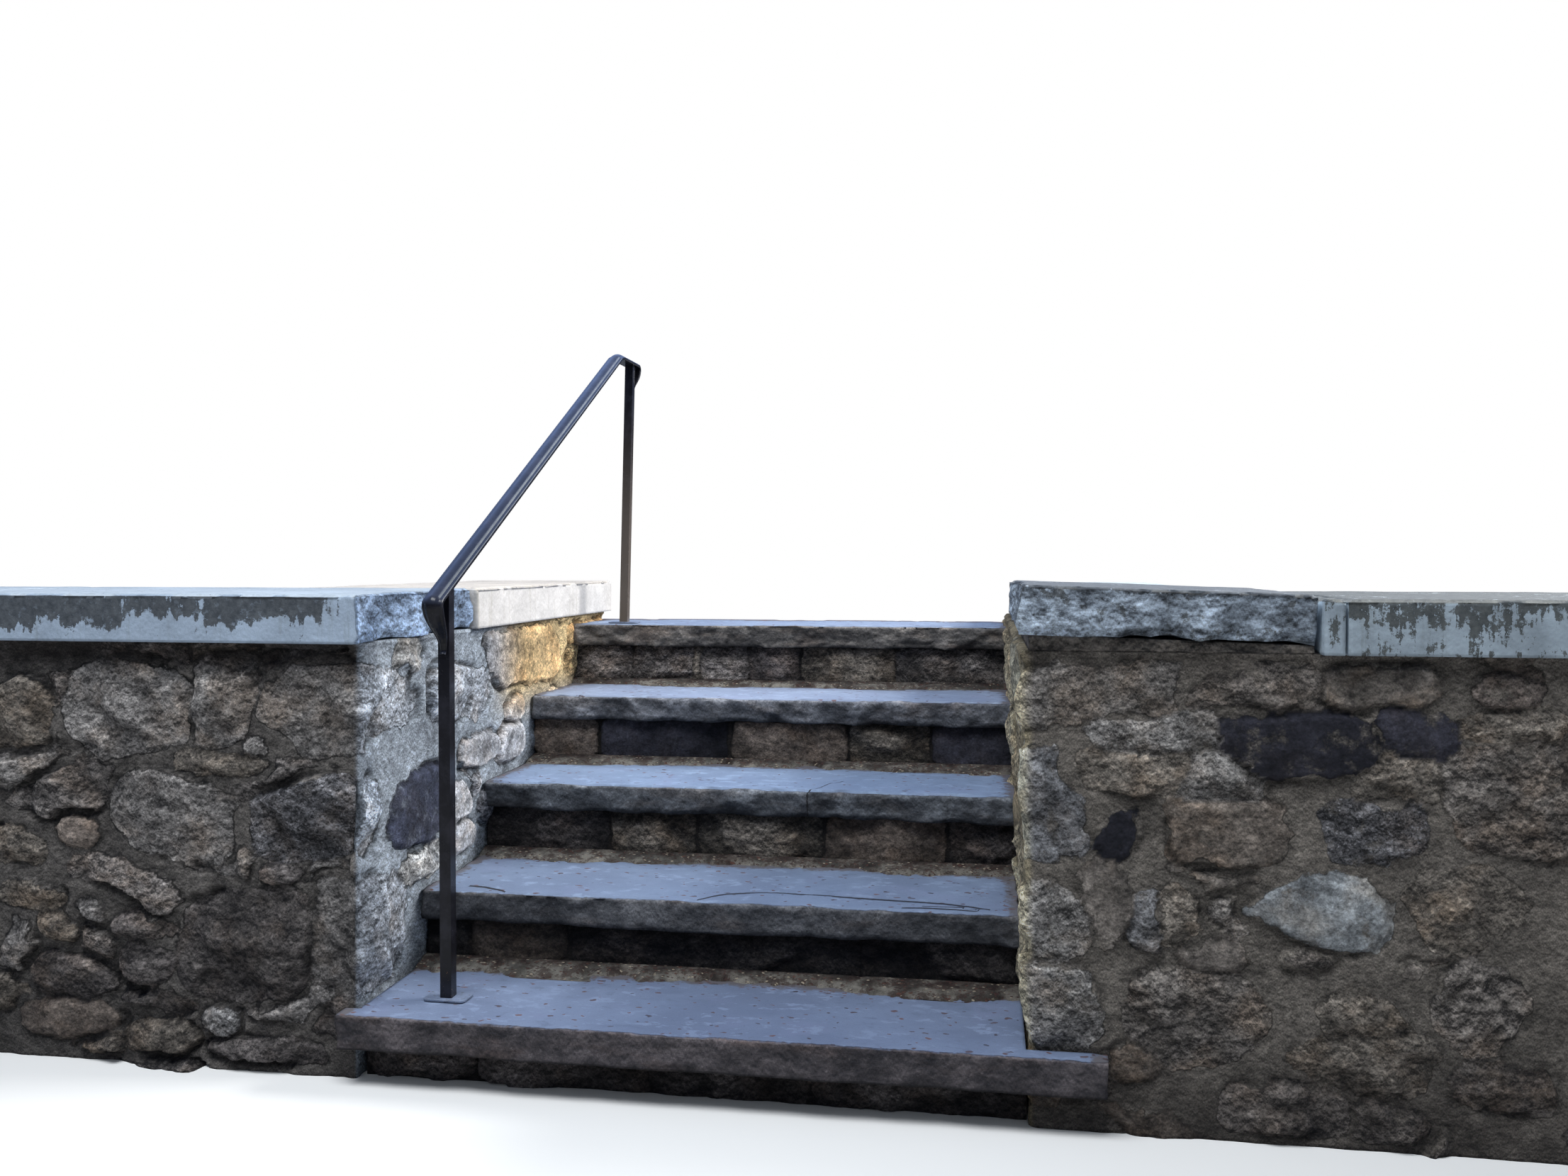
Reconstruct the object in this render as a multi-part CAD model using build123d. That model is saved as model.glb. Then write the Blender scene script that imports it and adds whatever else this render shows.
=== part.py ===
from build123d import *
import os
from math import atan2, cos, degrees, hypot, radians, sin, tan

# Outdoor stone steps: five thick slab treads on low stone risers, climbing between two
# fieldstone walls that are capped with long coping slabs. A wrought handrail with a
# moulded top stands on the bottom and top treads.
# The origin is on the ground at the middle of the footprint. X runs along the treads,
# Y runs into the bank, up the flight, and Z is up. Lengths are in millimetres.

os.makedirs("parts", exist_ok=True)

# The flight
clear_width = 1300
first_rise = 145
second_rise = 164
rise = 178
second_going = 316
going = 338
tread_thickness = 67
tread_arris = 4
nosing = 32
first_nosing = 68
top_tread_depth = 330
riser_thickness = 110
riser_joint = 8

# The bottom tread runs on past the passage, in front of both walls
left_ear = 30
right_ear = 141
wall_setback = 46

# Joints between the riser stones, bottom course first, from the middle of the flight
riser_joints = [
    [-420, -60, 250],
    [-544, -322, -58, 316],
    [-332, -114, 195, 485],
    [-464, -102, 218, 436],
    [-470, -272, -112, 48, 320],
]

# The mortar that fills the corner of each tread and the riser behind it
strip_width = 76
strip_height = 14
strip_lip = 2

# The walls and their coping slabs
wall_height = 868
wall_thickness = 510
wall_run = 1420
cheek_thickness = 400
coping_thickness = 98
coping_overhang = 28
coping_back_overhang = 20
coping_arris = 5
coping_joint = 6
left_corner_coping_length = 1000
right_corner_coping_length = 516
right_corner_coping_thickness = 90
right_corner_bed_high = 31
right_corner_bed_low = 15
right_bed_inset = 20
right_filler_gap = 6
right_filler_length = 36

# The fieldstones stand proud of the mortar, which stops short of the coping
left_recess = 12
right_recess = 6
stone_taper = 0.90
bedding_band = 12
ear_bedding = 8
cut_clearance = 1

# Main stones of each wall: outlines along the wall from the passage corner, negative on the
# front and positive in the passage, and up from the ground. They were drawn for a wall of the
# drawn height and run, and spread with it where it is built to another size.
left_stones = [
    [(-215, 740), (-150, 815), (0, 828), (164, 790), (274, 725), (184, 688), (0, 658), (-120, 645),
     (-190, 700)],
    [(-355, 800), (-290, 832), (-228, 826), (-226, 740), (-262, 664), (-310, 655), (-356, 720)],
    [(-635, 780), (-550, 822), (-470, 815), (-410, 730), (-440, 680), (-560, 635), (-650, 700)],
    [(-830, 750), (-720, 790), (-675, 700), (-690, 660), (-832, 650)],
    [(-410, 622), (-330, 642), (-190, 628), (-252, 596), (-392, 598)],
    [(-540, 570), (-430, 604), (-282, 562), (-275, 478), (-340, 415), (-460, 440), (-550, 505)],
    [(-235, 528), (-150, 577), (-12, 604), (-4, 480), (-50, 445), (-180, 430), (-232, 490)],
    [(-650, 400), (-560, 432), (-450, 395), (-390, 332), (-450, 308), (-550, 372)],
    [(-545, 290), (-450, 298), (-392, 270), (-500, 260)],
    [(-388, 285), (-372, 338), (-150, 376), (-112, 360), (-120, 200), (-210, 152), (-370, 150),
     (-400, 190)],
    [(-100, 380), (0, 394), (140, 382), (214, 300), (184, 165), (84, 152), (-50, 180), (-106, 280)],
    [(-700, 225), (-600, 215), (-530, 150), (-600, 128), (-700, 140), (-740, 180)],
    [(-760, 112), (-650, 120), (-545, 116), (-528, 84), (-600, 52), (-750, 50)],
    [(-520, 84), (-450, 94), (-380, 84), (-352, 52), (-400, 30), (-510, 32)],
    [(-340, 50), (-250, 68), (-70, 60), (-70, 30), (-330, 26)],
    [(-830, 470), (-750, 475), (-690, 440), (-720, 405), (-830, 405)],
    [(-670, 492), (-600, 502), (-560, 470), (-600, 445), (-660, 450)],
    [(-524, 240), (-440, 248), (-402, 228), (-412, 180), (-470, 160), (-530, 190)],
    [(309, 740), (344, 802), (534, 772), (669, 728), (604, 655), (404, 670)],
    [(124, 470), (184, 552), (364, 572), (402, 450), (284, 408), (134, 448)],
    [(19, 450), (24, 580), (54, 600), (84, 460), (54, 440)],
    [(734, 520), (754, 592), (884, 590), (894, 530)],
    [(620, 845), (1084, 846), (1184, 720), (1134, 690), (834, 712), (684, 740)],
    [(474, 600), (560, 608), (700, 600), (722, 560), (600, 530), (480, 540)],
    [(1240, 840), (1400, 845), (1590, 842), (1590, 780), (1250, 786)],
    [(1220, 768), (1590, 768), (1590, 700), (1240, 700)],
]
right_stones = [
    [(-255, 800), (-250, 845), (0, 832), (120, 835), (130, 740), (-50, 735), (-250, 760)],
    [(-336, 702), (-330, 757), (-180, 752), (-100, 738), (-120, 700), (-200, 690)],
    [(-280, 665), (-272, 690), (-180, 686), (-88, 668), (-120, 625), (-262, 632)],
    [(-410, 625), (-378, 668), (-290, 690), (-262, 625), (-290, 604), (-380, 606)],
    [(-587, 700), (-580, 762), (-352, 748), (-326, 735), (-328, 702), (-390, 650), (-510, 656)],
    [(-712, 702), (-705, 760), (-600, 768), (-592, 735), (-640, 694)],
    [(-508, 798), (-500, 842), (-350, 832), (-275, 770), (-400, 788)],
    [(-696, 820), (-600, 850), (-506, 812), (-515, 782), (-680, 790)],
    [(-862, 800), (-820, 834), (-750, 808), (-800, 778)],
    [(-975, 600), (-890, 722), (-800, 716), (-705, 660), (-715, 562), (-850, 525), (-930, 532)],
    [(-960, 735), (-930, 770), (-850, 776), (-745, 762), (-735, 730)],
    [(-676, 570), (-660, 612), (-550, 606), (-498, 580), (-510, 530), (-620, 520)],
    [(-692, 650), (-600, 690), (-556, 655), (-560, 622), (-690, 618)],
    [(-446, 510), (-430, 601), (-254, 600), (-256, 504), (-336, 500)],
    [(-100, 522), (-96, 570), (-36, 692), (130, 690), (130, 500), (0, 498)],
    [(-116, 340), (-112, 380), (-50, 432), (110, 430), (110, 310), (-70, 312)],
    [(-140, 212), (-100, 292), (120, 300), (120, 160), (-90, 156)],
    [(-188, 430), (-160, 476), (-100, 480), (-94, 420), (-126, 322), (-180, 380)],
    [(-612, 380), (-600, 442), (-490, 482), (-440, 465), (-372, 410), (-430, 390), (-520, 350)],
    [(-822, 460), (-790, 496), (-655, 480), (-655, 420), (-680, 368), (-780, 370)],
    [(-426, 240), (-400, 282), (-250, 302), (-170, 260), (-170, 220), (-220, 150), (-330, 140)],
    [(-646, 236), (-560, 276), (-500, 230), (-510, 208), (-590, 206)],
    [(-700, 180), (-680, 202), (-530, 198), (-465, 165), (-510, 130), (-600, 100)],
    [(-850, 280), (-750, 342), (-690, 280), (-740, 180), (-790, 190)],
    [(-552, 92), (-450, 106), (-350, 95), (-350, 28), (-470, 20), (-552, 40)],
    [(-700, 40), (-660, 68), (-565, 86), (-570, 25)],
    [(-890, 150), (-800, 165), (-725, 150), (-725, 100), (-800, 85), (-890, 100)],
]
drawn_height = 868
drawn_run = 1420
left_drawn_front = 840
left_drawn_passage = 1600
right_drawn_front = 985
right_drawn_passage = 140

# The faces that aren't seen from the front have like stones in rough courses
course_count = 5
course_lengths = (310, 240, 275, 330, 225)
course_shift_count = 2
course_joint = 14
course_corner = 34

# The handrail
post_width = 24
lower_post_setback = 131
lower_post_height = 834
upper_post_setback = 58
upper_post_height = 771
upper_post_lean = 20
rail_from_wall = 150
rail_skew = 21
rail_width = 44
rail_height = 16
low_end_reach = 49
high_knee_reach = 130
high_end_reach = 28
high_knee_radius = 60
end_bend_radius = 8
low_tongue_angle = 15
high_tongue_angle = 15
low_tongue_drop = 88
high_tongue_drop = 66
tongue_tip_width = 14
tongue_tip_height = 5
curl_radius = 16
curl_angle = 40
seat_clearance = 0.3

# Shape of the moulded bar, in shares of its width and height
profile_edge = 0.10
profile_lip = 0.30
bead_top_inset, bead_top_level = 0.11, 0.54
bead_side_inset, bead_side_level = 0.03, 0.47
quirk_inset, quirk_level = 0.16, 0.58

# Shape of the drawn-out tongues: how stiffly the curve leaves the bar and meets the post,
# where its sections stand, where the flats meet on a rounded part of the section, and how
# much of the taper is done before the curl
leave_stiffness = 0.42
meet_stiffness = 0.38
tongue_sections = (0.0, 0.12, 0.24, 0.36, 0.48, 0.60, 0.72, 0.86, 1.0)
curl_sections = (0.33, 0.67, 1.0)
hammer_shares = (0, 0.25, 0.5, 0.75)
taper_before_curl = 0.88

# The cement patches round the feet of the posts
patch_length = 90
patch_depth = 54
patch_height = 3
patch_corner = 12

# Places worked out from the sizes above
half_clear = clear_width / 2
tread_count = len(riser_joints)
fronts = [0] + [second_going + step * going for step in range(tread_count - 1)]
flight_depth = fronts[-1] + top_tread_depth
tread_front = [front - flight_depth / 2 for front in fronts]
tread_top = [first_rise] + [first_rise + second_rise + step * rise for step in range(tread_count - 1)]
rear_y = flight_depth / 2
wall_front_y = tread_front[0] + wall_setback
wall_back_y = wall_front_y + wall_thickness
wall_end_x = half_clear + wall_run
coping_front_y = wall_front_y - coping_overhang
coping_back_y = wall_back_y + coping_back_overhang
coping_end_x = wall_end_x + coping_back_overhang
coping_edge_x = half_clear - coping_overhang
cheek_back_x = half_clear + cheek_thickness
coping_top = wall_height + coping_thickness


def block(x0, x1, y0, y1, z0, z1):
    """A rectangular block between two corners."""
    low = (Align.MIN, Align.MIN, Align.MIN)
    return Pos(x0, y0, z0) * Box(x1 - x0, y1 - y0, z1 - z0, align=low)


def save(solids, name):
    """Writes one sub-part."""
    if isinstance(solids, list):
        solids = Compound(children=solids)
    export_step(solids, "parts/" + name + ".step")


def eased(body, size):
    """A slab whose upper edges are worn to a small chamfer."""
    top = body.faces().sort_by(Axis.Z)[-1]
    return chamfer(top.edges(), size)


def riser_face(step):
    """Where the face of a riser stands, behind the nosing above it."""
    overhang = first_nosing if step == 0 else nosing
    return tread_front[step] + overhang


def tread_back(step):
    """A tread runs back under the riser that stands on it."""
    if step == tread_count - 1:
        return rear_y
    return riser_face(step + 1) + riser_thickness


def make_treads():
    """Five slabs. The bottom one is notched round the corners of the walls."""
    for step in range(tread_count):
        top = tread_top[step]
        under = top - tread_thickness
        front = tread_front[step]
        slab = block(-half_clear, half_clear, front, tread_back(step), under, top)
        if step == 0:
            left_end = -half_clear - left_ear
            slab += block(left_end, half_clear + right_ear, front, wall_front_y, under, top)
        arris = slab.edges().filter_by(Axis.X).group_by(Axis.Z)[-1].sort_by(Axis.Y)[0]
        save(chamfer(arris, tread_arris), f"tread_{step + 1}")


def make_risers():
    """A course of squared stones under the front of each tread, with open joints."""
    for step in range(tread_count):
        foot = 0 if step == 0 else tread_top[step - 1]
        head = tread_top[step] - tread_thickness
        face = riser_face(step)
        ends = [-half_clear - riser_joint / 2] + riser_joints[step] + [half_clear + riser_joint / 2]
        stones = []
        for left, right in zip(ends, ends[1:]):
            start = left + riser_joint / 2
            end = right - riser_joint / 2
            stones.append(block(start, end, face, face + riser_thickness, foot, head))
        save(stones, f"riser_{step + 1}")


def make_mortar_strips():
    """A sloping fillet of mortar along the foot of every riser that stands on a tread."""
    for step in range(1, tread_count):
        foot = tread_top[step - 1]
        back = riser_face(step)
        outline = Polyline(
            (-half_clear, back, foot),
            (-half_clear, back - strip_width, foot),
            (-half_clear, back - strip_width, foot + strip_lip),
            (-half_clear, back, foot + strip_height),
            close=True,
        )
        save(extrude(make_face(outline), amount=clear_width, dir=(1, 0, 0)), f"mortar_strip_{step + 1}")


def make_cores():
    """The rubble mass that carries the treads behind the risers, one lift a step."""
    for step in range(tread_count):
        if step == 0:
            front = riser_face(0) + riser_thickness
            foot = 0
        else:
            front = tread_back(step - 1)
            foot = tread_top[step - 1] - tread_thickness
        head = tread_top[step] - tread_thickness
        save(block(-half_clear, half_clear, front, rear_y, foot, head), f"rubble_core_{step + 1}")


def wall_plane(start, end):
    """The plane of a wall face from one corner to the next: X along it, Y up and Z outwards."""
    length = hypot(end[0] - start[0], end[1] - start[1])
    along_x = (end[0] - start[0]) / length
    along_y = (end[1] - start[1]) / length
    outwards = (along_y, -along_x, 0)
    return Plane(origin=(start[0], start[1], 0), x_dir=(along_x, along_y, 0), z_dir=outwards)


def fieldstone(plane, outline, recess):
    """A stone that spreads from its flat face down to the mortar."""
    middle_x = sum(point[0] for point in outline) / len(outline)
    middle_y = sum(point[1] for point in outline) / len(outline)
    sections = []
    for level, scale in ((-recess - cut_clearance, 1), (cut_clearance, stone_taper)):
        corners = []
        for x, y in outline:
            spread_x = middle_x + (x - middle_x) * scale
            spread_y = middle_y + (y - middle_y) * scale
            corners.append(plane.from_local_coords((spread_x, spread_y, level)))
        sections.append(make_face(Polyline(*corners, close=True)))
    return loft(sections, ruled=True)


def coursed_outlines(start, end):
    """Blocks with their corners knocked off, in rough courses along a stretch of wall."""
    outlines = []
    rise_of_course = wall_height / course_count
    for course in range(course_count):
        foot = course * rise_of_course + course_joint / 2
        head = foot + rise_of_course - course_joint
        number = course * course_shift_count
        left = start
        while left < end:
            length = course_lengths[number % len(course_lengths)]
            right = min(left + length, end)
            if right - left > 2 * course_corner + course_joint:
                x0 = left + course_joint / 2
                x1 = right - course_joint / 2
                cut = course_corner
                outlines.append([
                    (x0 + cut, foot), (x1 - cut, foot), (x1, foot + cut), (x1, head - cut),
                    (x1 - cut, head), (x0 + cut, head), (x0, head - cut), (x0, foot + cut),
                ])
            left = right
            number += 1
    return outlines


def moved_along(outlines, distance):
    return [[(x + distance, y) for x, y in outline] for outline in outlines]


def stone_skin(stretches, recess):
    """What is cut away between the stones: thin slabs along the faces, less the stones."""
    on_plane = (Align.MIN, Align.MIN, Align.CENTER)
    slabs = []
    stones = []
    for start, end, outlines in stretches:
        plane = wall_plane(start, end)
        length = hypot(end[0] - start[0], end[1] - start[1])
        slabs.append(plane * Box(length, wall_height - bedding_band, 2 * recess, align=on_plane))
        there = [outline for outline in outlines if max(x for x, y in outline) > 0]
        there = [outline for outline in there if min(x for x, y in outline) < length]
        stones += [fieldstone(plane, outline, recess) for outline in there]
    skin = slabs[0]
    for slab in slabs[1:]:
        skin += slab
    return skin - stones


def fieldstone_walls(drawn, drawn_front, drawn_passage, ear, recess):
    """A front wall and its cheek wall, as they stand on the left of the passage.

    Where the treads, risers and mortar strips end against them, the face is left whole.
    """
    rise_scale = wall_height / drawn_height
    run_scale = wall_run / drawn_run
    corner = (-half_clear, wall_front_y)
    outer = (-wall_end_x, wall_front_y)
    outer_back = (-wall_end_x, wall_back_y)
    joint_back = (-cheek_back_x, wall_back_y)
    cheek_rear = (-cheek_back_x, rear_y)
    passage_rear = (-half_clear, rear_y)
    passage_joint = (-half_clear, wall_back_y)
    front = [[(x * run_scale, y * rise_scale) for x, y in outline] for outline in drawn]
    front = moved_along(front, wall_run)
    front += coursed_outlines(0, wall_run - drawn_front * run_scale)
    passage = [[(x, y * rise_scale) for x, y in outline] for outline in drawn]
    passage += coursed_outlines(drawn_passage, rear_y - wall_front_y)

    ear_end = -half_clear - ear - ear_bedding
    whole = block(ear_end, -half_clear, wall_front_y, wall_back_y, 0, tread_top[0] + ear_bedding)
    for step in range(tread_count):
        top = tread_top[step] + strip_height
        side = -half_clear - recess - cut_clearance
        whole += block(side, -half_clear, tread_front[step], rear_y, 0, top)

    skin = stone_skin([
        (outer_back, outer, coursed_outlines(0, wall_thickness)),
        (outer, corner, front),
        (corner, passage_joint, passage),
        (joint_back, outer_back, coursed_outlines(0, wall_run - cheek_thickness)),
    ], recess)
    front_wall = block(-wall_end_x, -half_clear, wall_front_y, wall_back_y, 0, wall_height)
    front_wall -= skin - whole

    skin = stone_skin([
        (passage_joint, passage_rear, moved_along(passage, -wall_thickness)),
        (passage_rear, cheek_rear, coursed_outlines(0, cheek_thickness)),
        (cheek_rear, joint_back, coursed_outlines(0, rear_y - wall_back_y)),
    ], recess)
    cheek_wall = block(-cheek_back_x, -half_clear, wall_back_y, rear_y, 0, wall_height)
    cheek_wall -= skin - whole
    return front_wall, cheek_wall


def make_walls():
    """A front wall each side of the passage, and a cheek wall along each side of the flight."""
    front, cheek = fieldstone_walls(
        left_stones, left_drawn_front, left_drawn_passage, left_ear, left_recess
    )
    save(front, "left_front_wall")
    save(cheek, "left_cheek_wall")
    front, cheek = fieldstone_walls(
        right_stones, right_drawn_front, right_drawn_passage, right_ear, right_recess
    )
    save(mirror(front, about=Plane.YZ), "right_front_wall")
    save(mirror(cheek, about=Plane.YZ), "right_cheek_wall")


def coping(x0, x1, y0, y1, name):
    """One level coping slab on the top of a wall."""
    save(eased(block(x0, x1, y0, y1, wall_height, coping_top), coping_arris), name)


def make_left_copings():
    joint_x = -coping_edge_x - left_corner_coping_length
    coping(joint_x, -coping_edge_x, coping_front_y, coping_back_y, "left_coping_corner")
    coping(-coping_end_x, joint_x - coping_joint, coping_front_y, coping_back_y, "left_coping_outer")
    cheek_x = -cheek_back_x - coping_back_overhang
    coping(cheek_x, -coping_edge_x, coping_back_y + coping_joint, rear_y, "left_coping_cheek")


def make_right_copings():
    """The corner slab has been reset on a wedge of mortar and leans down to the right."""
    start = coping_edge_x
    tilt = atan2(right_corner_bed_high - right_corner_bed_low, right_corner_coping_length)
    low_corner = Location((start, 0, wall_height + right_corner_bed_high), (0, degrees(tilt), 0))
    depth = coping_back_y - coping_front_y
    slab = Box(right_corner_coping_length, depth, right_corner_coping_thickness,
               align=(Align.MIN, Align.MIN, Align.MIN))
    save(low_corner * (Pos(0, coping_front_y, 0) * eased(slab, coping_arris)), "right_coping_corner")

    end = start + right_corner_coping_length * cos(tilt)

    def bed_height(x):
        return wall_height + right_corner_bed_high - (x - start) * tan(tilt)

    bed_front = wall_front_y + right_bed_inset
    outline = Polyline(
        (half_clear, bed_front, wall_height),
        (end, bed_front, wall_height),
        (end, bed_front, bed_height(end)),
        (half_clear, bed_front, bed_height(half_clear)),
        close=True,
    )
    bed_depth = wall_back_y - right_bed_inset - bed_front
    save(extrude(make_face(outline), amount=bed_depth, dir=(0, 1, 0)), "right_coping_bed")

    lean = right_corner_coping_thickness * sin(tilt)
    filler_start = end + lean + right_filler_gap
    filler_end = filler_start + right_filler_length
    coping(filler_start, filler_end, coping_front_y, coping_back_y, "right_coping_filler")
    long_start = filler_end + coping_joint / 2
    coping(long_start, coping_end_x, coping_front_y, coping_back_y, "right_coping_long")
    cheek_x = cheek_back_x + coping_back_overhang
    coping(half_clear, cheek_x, coping_back_y + coping_joint, rear_y, "right_coping_cheek")


# The handrail is laid out in its own upright plane: "along" runs in plan from the axis
# of the lower post towards the upper one, and "up" is the height above the ground.
lower_post_x = -half_clear + rail_from_wall
lower_post_y = tread_front[0] + lower_post_setback
upper_post_y = tread_front[-1] + upper_post_setback
post_spacing = hypot(rail_skew, upper_post_y - lower_post_y)
plan_turn = degrees(atan2(upper_post_y - lower_post_y, rail_skew))
rail_place = Location((lower_post_x, lower_post_y, 0), (0, 0, plan_turn))
low_under = tread_top[0] + lower_post_height
high_under = tread_top[-1] + upper_post_height
high_knee = post_spacing - high_knee_reach
slope = atan2(high_under - low_under, high_knee)
half_post = post_width / 2


def rail_outline(width, height):
    """The moulded bar, seen end on: flat below, a bead along each edge, a crown between."""
    half = width / 2
    edge = profile_edge * height
    lip = profile_lip * height
    foot = half - edge
    bead_top = (half - bead_top_inset * width, bead_top_level * height)
    bead_side = (half - bead_side_inset * width, bead_side_level * height)
    quirk = (half - quirk_inset * width, quirk_level * height)

    def left(point):
        return (-point[0], point[1])

    return [
        Line((-foot, 0), (foot, 0)),
        Line((foot, 0), (half, edge)),
        Line((half, edge), (half, lip)),
        ThreePointArc((half, lip), bead_side, bead_top),
        Line(bead_top, quirk),
        ThreePointArc(quirk, (0, height), left(quirk)),
        Line(left(quirk), left(bead_top)),
        ThreePointArc(left(bead_top), left(bead_side), (-half, lip)),
        Line((-half, lip), (-half, edge)),
        Line((-half, edge), (-foot, 0)),
    ]


def hammered_profile(width, height):
    """The same section in short flats, as it is drawn out under the hammer."""
    corners = []
    for edge in rail_outline(width, height):
        shares = (0,) if edge.geom_type == GeomType.LINE else hammer_shares
        corners += [edge @ share for share in shares]
    return make_face(Polyline(*corners, close=True))


def heading(angle):
    """A direction in the plane of the rail, from its angle above the level."""
    return (cos(angle), sin(angle))


def moved(point, direction, distance):
    return (point[0] + direction[0] * distance, point[1] + direction[1] * distance)


def in_space(point):
    return (point[0], 0, point[1])


def bend(centre, start_angle, end_angle, radius):
    """An arc about a centre, from one radial angle to another."""
    middle = (start_angle + end_angle) / 2
    places = [moved(centre, heading(angle), radius) for angle in (start_angle, middle, end_angle)]
    return ThreePointArc(*[in_space(place) for place in places])


# Centres of the tight bends at both ends, which the underside of the bar turns round
low_centre = (
    -low_end_reach,
    low_under - low_end_reach * tan(slope) - end_bend_radius / cos(slope),
)
low_start_angle = slope + radians(90)
low_end_angle = radians(180 + low_tongue_angle)
high_centre = (post_spacing + high_end_reach, high_under - end_bend_radius)
high_start_angle = radians(90)
high_end_angle = radians(-high_tongue_angle)


def make_handrail():
    """One moulded bar: bent down at its foot, eased to the level above, bent down behind."""
    low_bend = bend(low_centre, low_end_angle, low_start_angle, end_bend_radius)
    knee = (high_knee, high_under)
    tangent = high_knee_radius * tan(slope / 2)
    knee_start = moved(knee, heading(slope), -tangent)
    knee_end = moved(knee, (1, 0), tangent)
    knee_centre = moved(knee_end, (0, 1), -high_knee_radius)
    rising_start = moved(low_centre, heading(low_start_angle), end_bend_radius)
    rising = Line(in_space(rising_start), in_space(knee_start))
    easing = bend(knee_centre, radians(90) + slope, radians(90), high_knee_radius)
    level_end = (high_centre[0], high_under)
    level = Line(in_space(knee_end), in_space(level_end))
    high_bend = bend(high_centre, high_start_angle, high_end_angle, end_bend_radius)
    path = Wire([low_bend, rising, easing, level, high_bend])
    start = moved(low_centre, heading(low_end_angle), end_bend_radius)
    travel = low_end_angle - radians(90)
    normal = heading(travel)
    plane = Plane(origin=in_space(start), x_dir=(0, 1, 0), z_dir=(normal[0], 0, normal[1]))
    section = make_face(Wire(rail_outline(rail_width, rail_height)))
    bar = sweep(plane * section, path=path)
    save(rail_place * bar, "handrail")


def tongue(start, start_heading, contact, turn, name):
    """The bar drawn down to a thin tongue that lies on the post and curls out at its tip."""
    reach = hypot(contact[0] - start[0], contact[1] - start[1])
    first = moved(start, start_heading, leave_stiffness * reach)
    last = moved(contact, (0, 1), meet_stiffness * reach)
    stations = []
    for fraction in tongue_sections:
        back = 1 - fraction
        weights = (back ** 3, 3 * back ** 2 * fraction, 3 * back * fraction ** 2, fraction ** 3)
        points = (start, first, last, contact)
        along = sum(weight * point[0] for weight, point in zip(weights, points))
        up = sum(weight * point[1] for weight, point in zip(weights, points))
        slopes = (back ** 2, 2 * back * fraction, fraction ** 2)
        steps = [(b[0] - a[0], b[1] - a[1]) for a, b in zip(points, points[1:])]
        run = sum(weight * step[0] for weight, step in zip(slopes, steps))
        fall = sum(weight * step[1] for weight, step in zip(slopes, steps))
        stations.append(((along, up), atan2(fall, run), taper_before_curl * fraction))
    curl_centre = moved(contact, (turn, 0), curl_radius)
    for share in curl_sections:
        swing = radians(curl_angle) * share
        outwards = -turn * cos(swing)
        point = moved(curl_centre, (outwards, -sin(swing)), curl_radius)
        taper = taper_before_curl + (1 - taper_before_curl) * share
        stations.append((point, radians(-90) + turn * swing, taper))
    sections = []
    for point, angle, taper in stations:
        ease = taper * taper * (3 - 2 * taper)
        width = rail_width + (tongue_tip_width - rail_width) * ease
        height = rail_height + (tongue_tip_height - rail_height) * ease
        normal = moved((0, 0), heading(angle), turn)
        plane = Plane(origin=in_space(point), x_dir=(0, 1, 0), z_dir=in_space(normal))
        sections.append(plane * hammered_profile(width, height))
    save(rail_place * loft(sections, ruled=True), name)


def make_tongues():
    low_start = moved(low_centre, heading(low_end_angle), end_bend_radius)
    low_contact = (-half_post - seat_clearance, low_start[1] - low_tongue_drop)
    tongue(low_start, heading(low_end_angle + radians(90)), low_contact, -1, "lower_tongue")
    high_start = moved(high_centre, heading(high_end_angle), end_bend_radius)
    high_contact = (post_spacing + half_post + seat_clearance, high_start[1] - high_tongue_drop)
    tongue(high_start, heading(high_end_angle - radians(90)), high_contact, 1, "upper_tongue")


def make_posts():
    """Two square posts. The lower one is cut to the slope of the bar, and the upper one leans."""
    def under(along):
        return low_under + along * tan(slope)

    outline = Polyline(
        (-half_post, -half_post, tread_top[0]),
        (half_post, -half_post, tread_top[0]),
        (half_post, -half_post, under(half_post)),
        (-half_post, -half_post, under(-half_post)),
        close=True,
    )
    save(rail_place * extrude(make_face(outline), amount=post_width, dir=(0, 1, 0)), "lower_post")

    foot_plane = Plane(origin=(post_spacing, upper_post_lean, tread_top[-1]))
    foot = foot_plane * Rectangle(post_width, post_width)
    head = Plane(origin=(post_spacing, 0, high_under)) * Rectangle(post_width, post_width)
    save(rail_place * loft([foot, head]), "upper_post")


def make_patches():
    """Cement that closes the socket cut in the tread round the foot of each post."""
    hole = post_width + 2 * seat_clearance
    feet = (
        ("lower_post_patch", (0, 0), tread_top[0]),
        ("upper_post_patch", (post_spacing, upper_post_lean), tread_top[-1]),
    )
    for name, (along, across), level in feet:
        outline = RectangleRounded(patch_depth, patch_length, patch_corner) - Rectangle(hole, hole)
        socket = Plane(origin=(along, across, level))
        patch = extrude(socket * outline, amount=patch_height)
        save(rail_place * patch, name)


make_treads()
make_risers()
make_mortar_strips()
make_cores()
make_walls()
make_left_copings()
make_right_copings()
make_handrail()
make_tongues()
make_posts()
make_patches()
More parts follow.
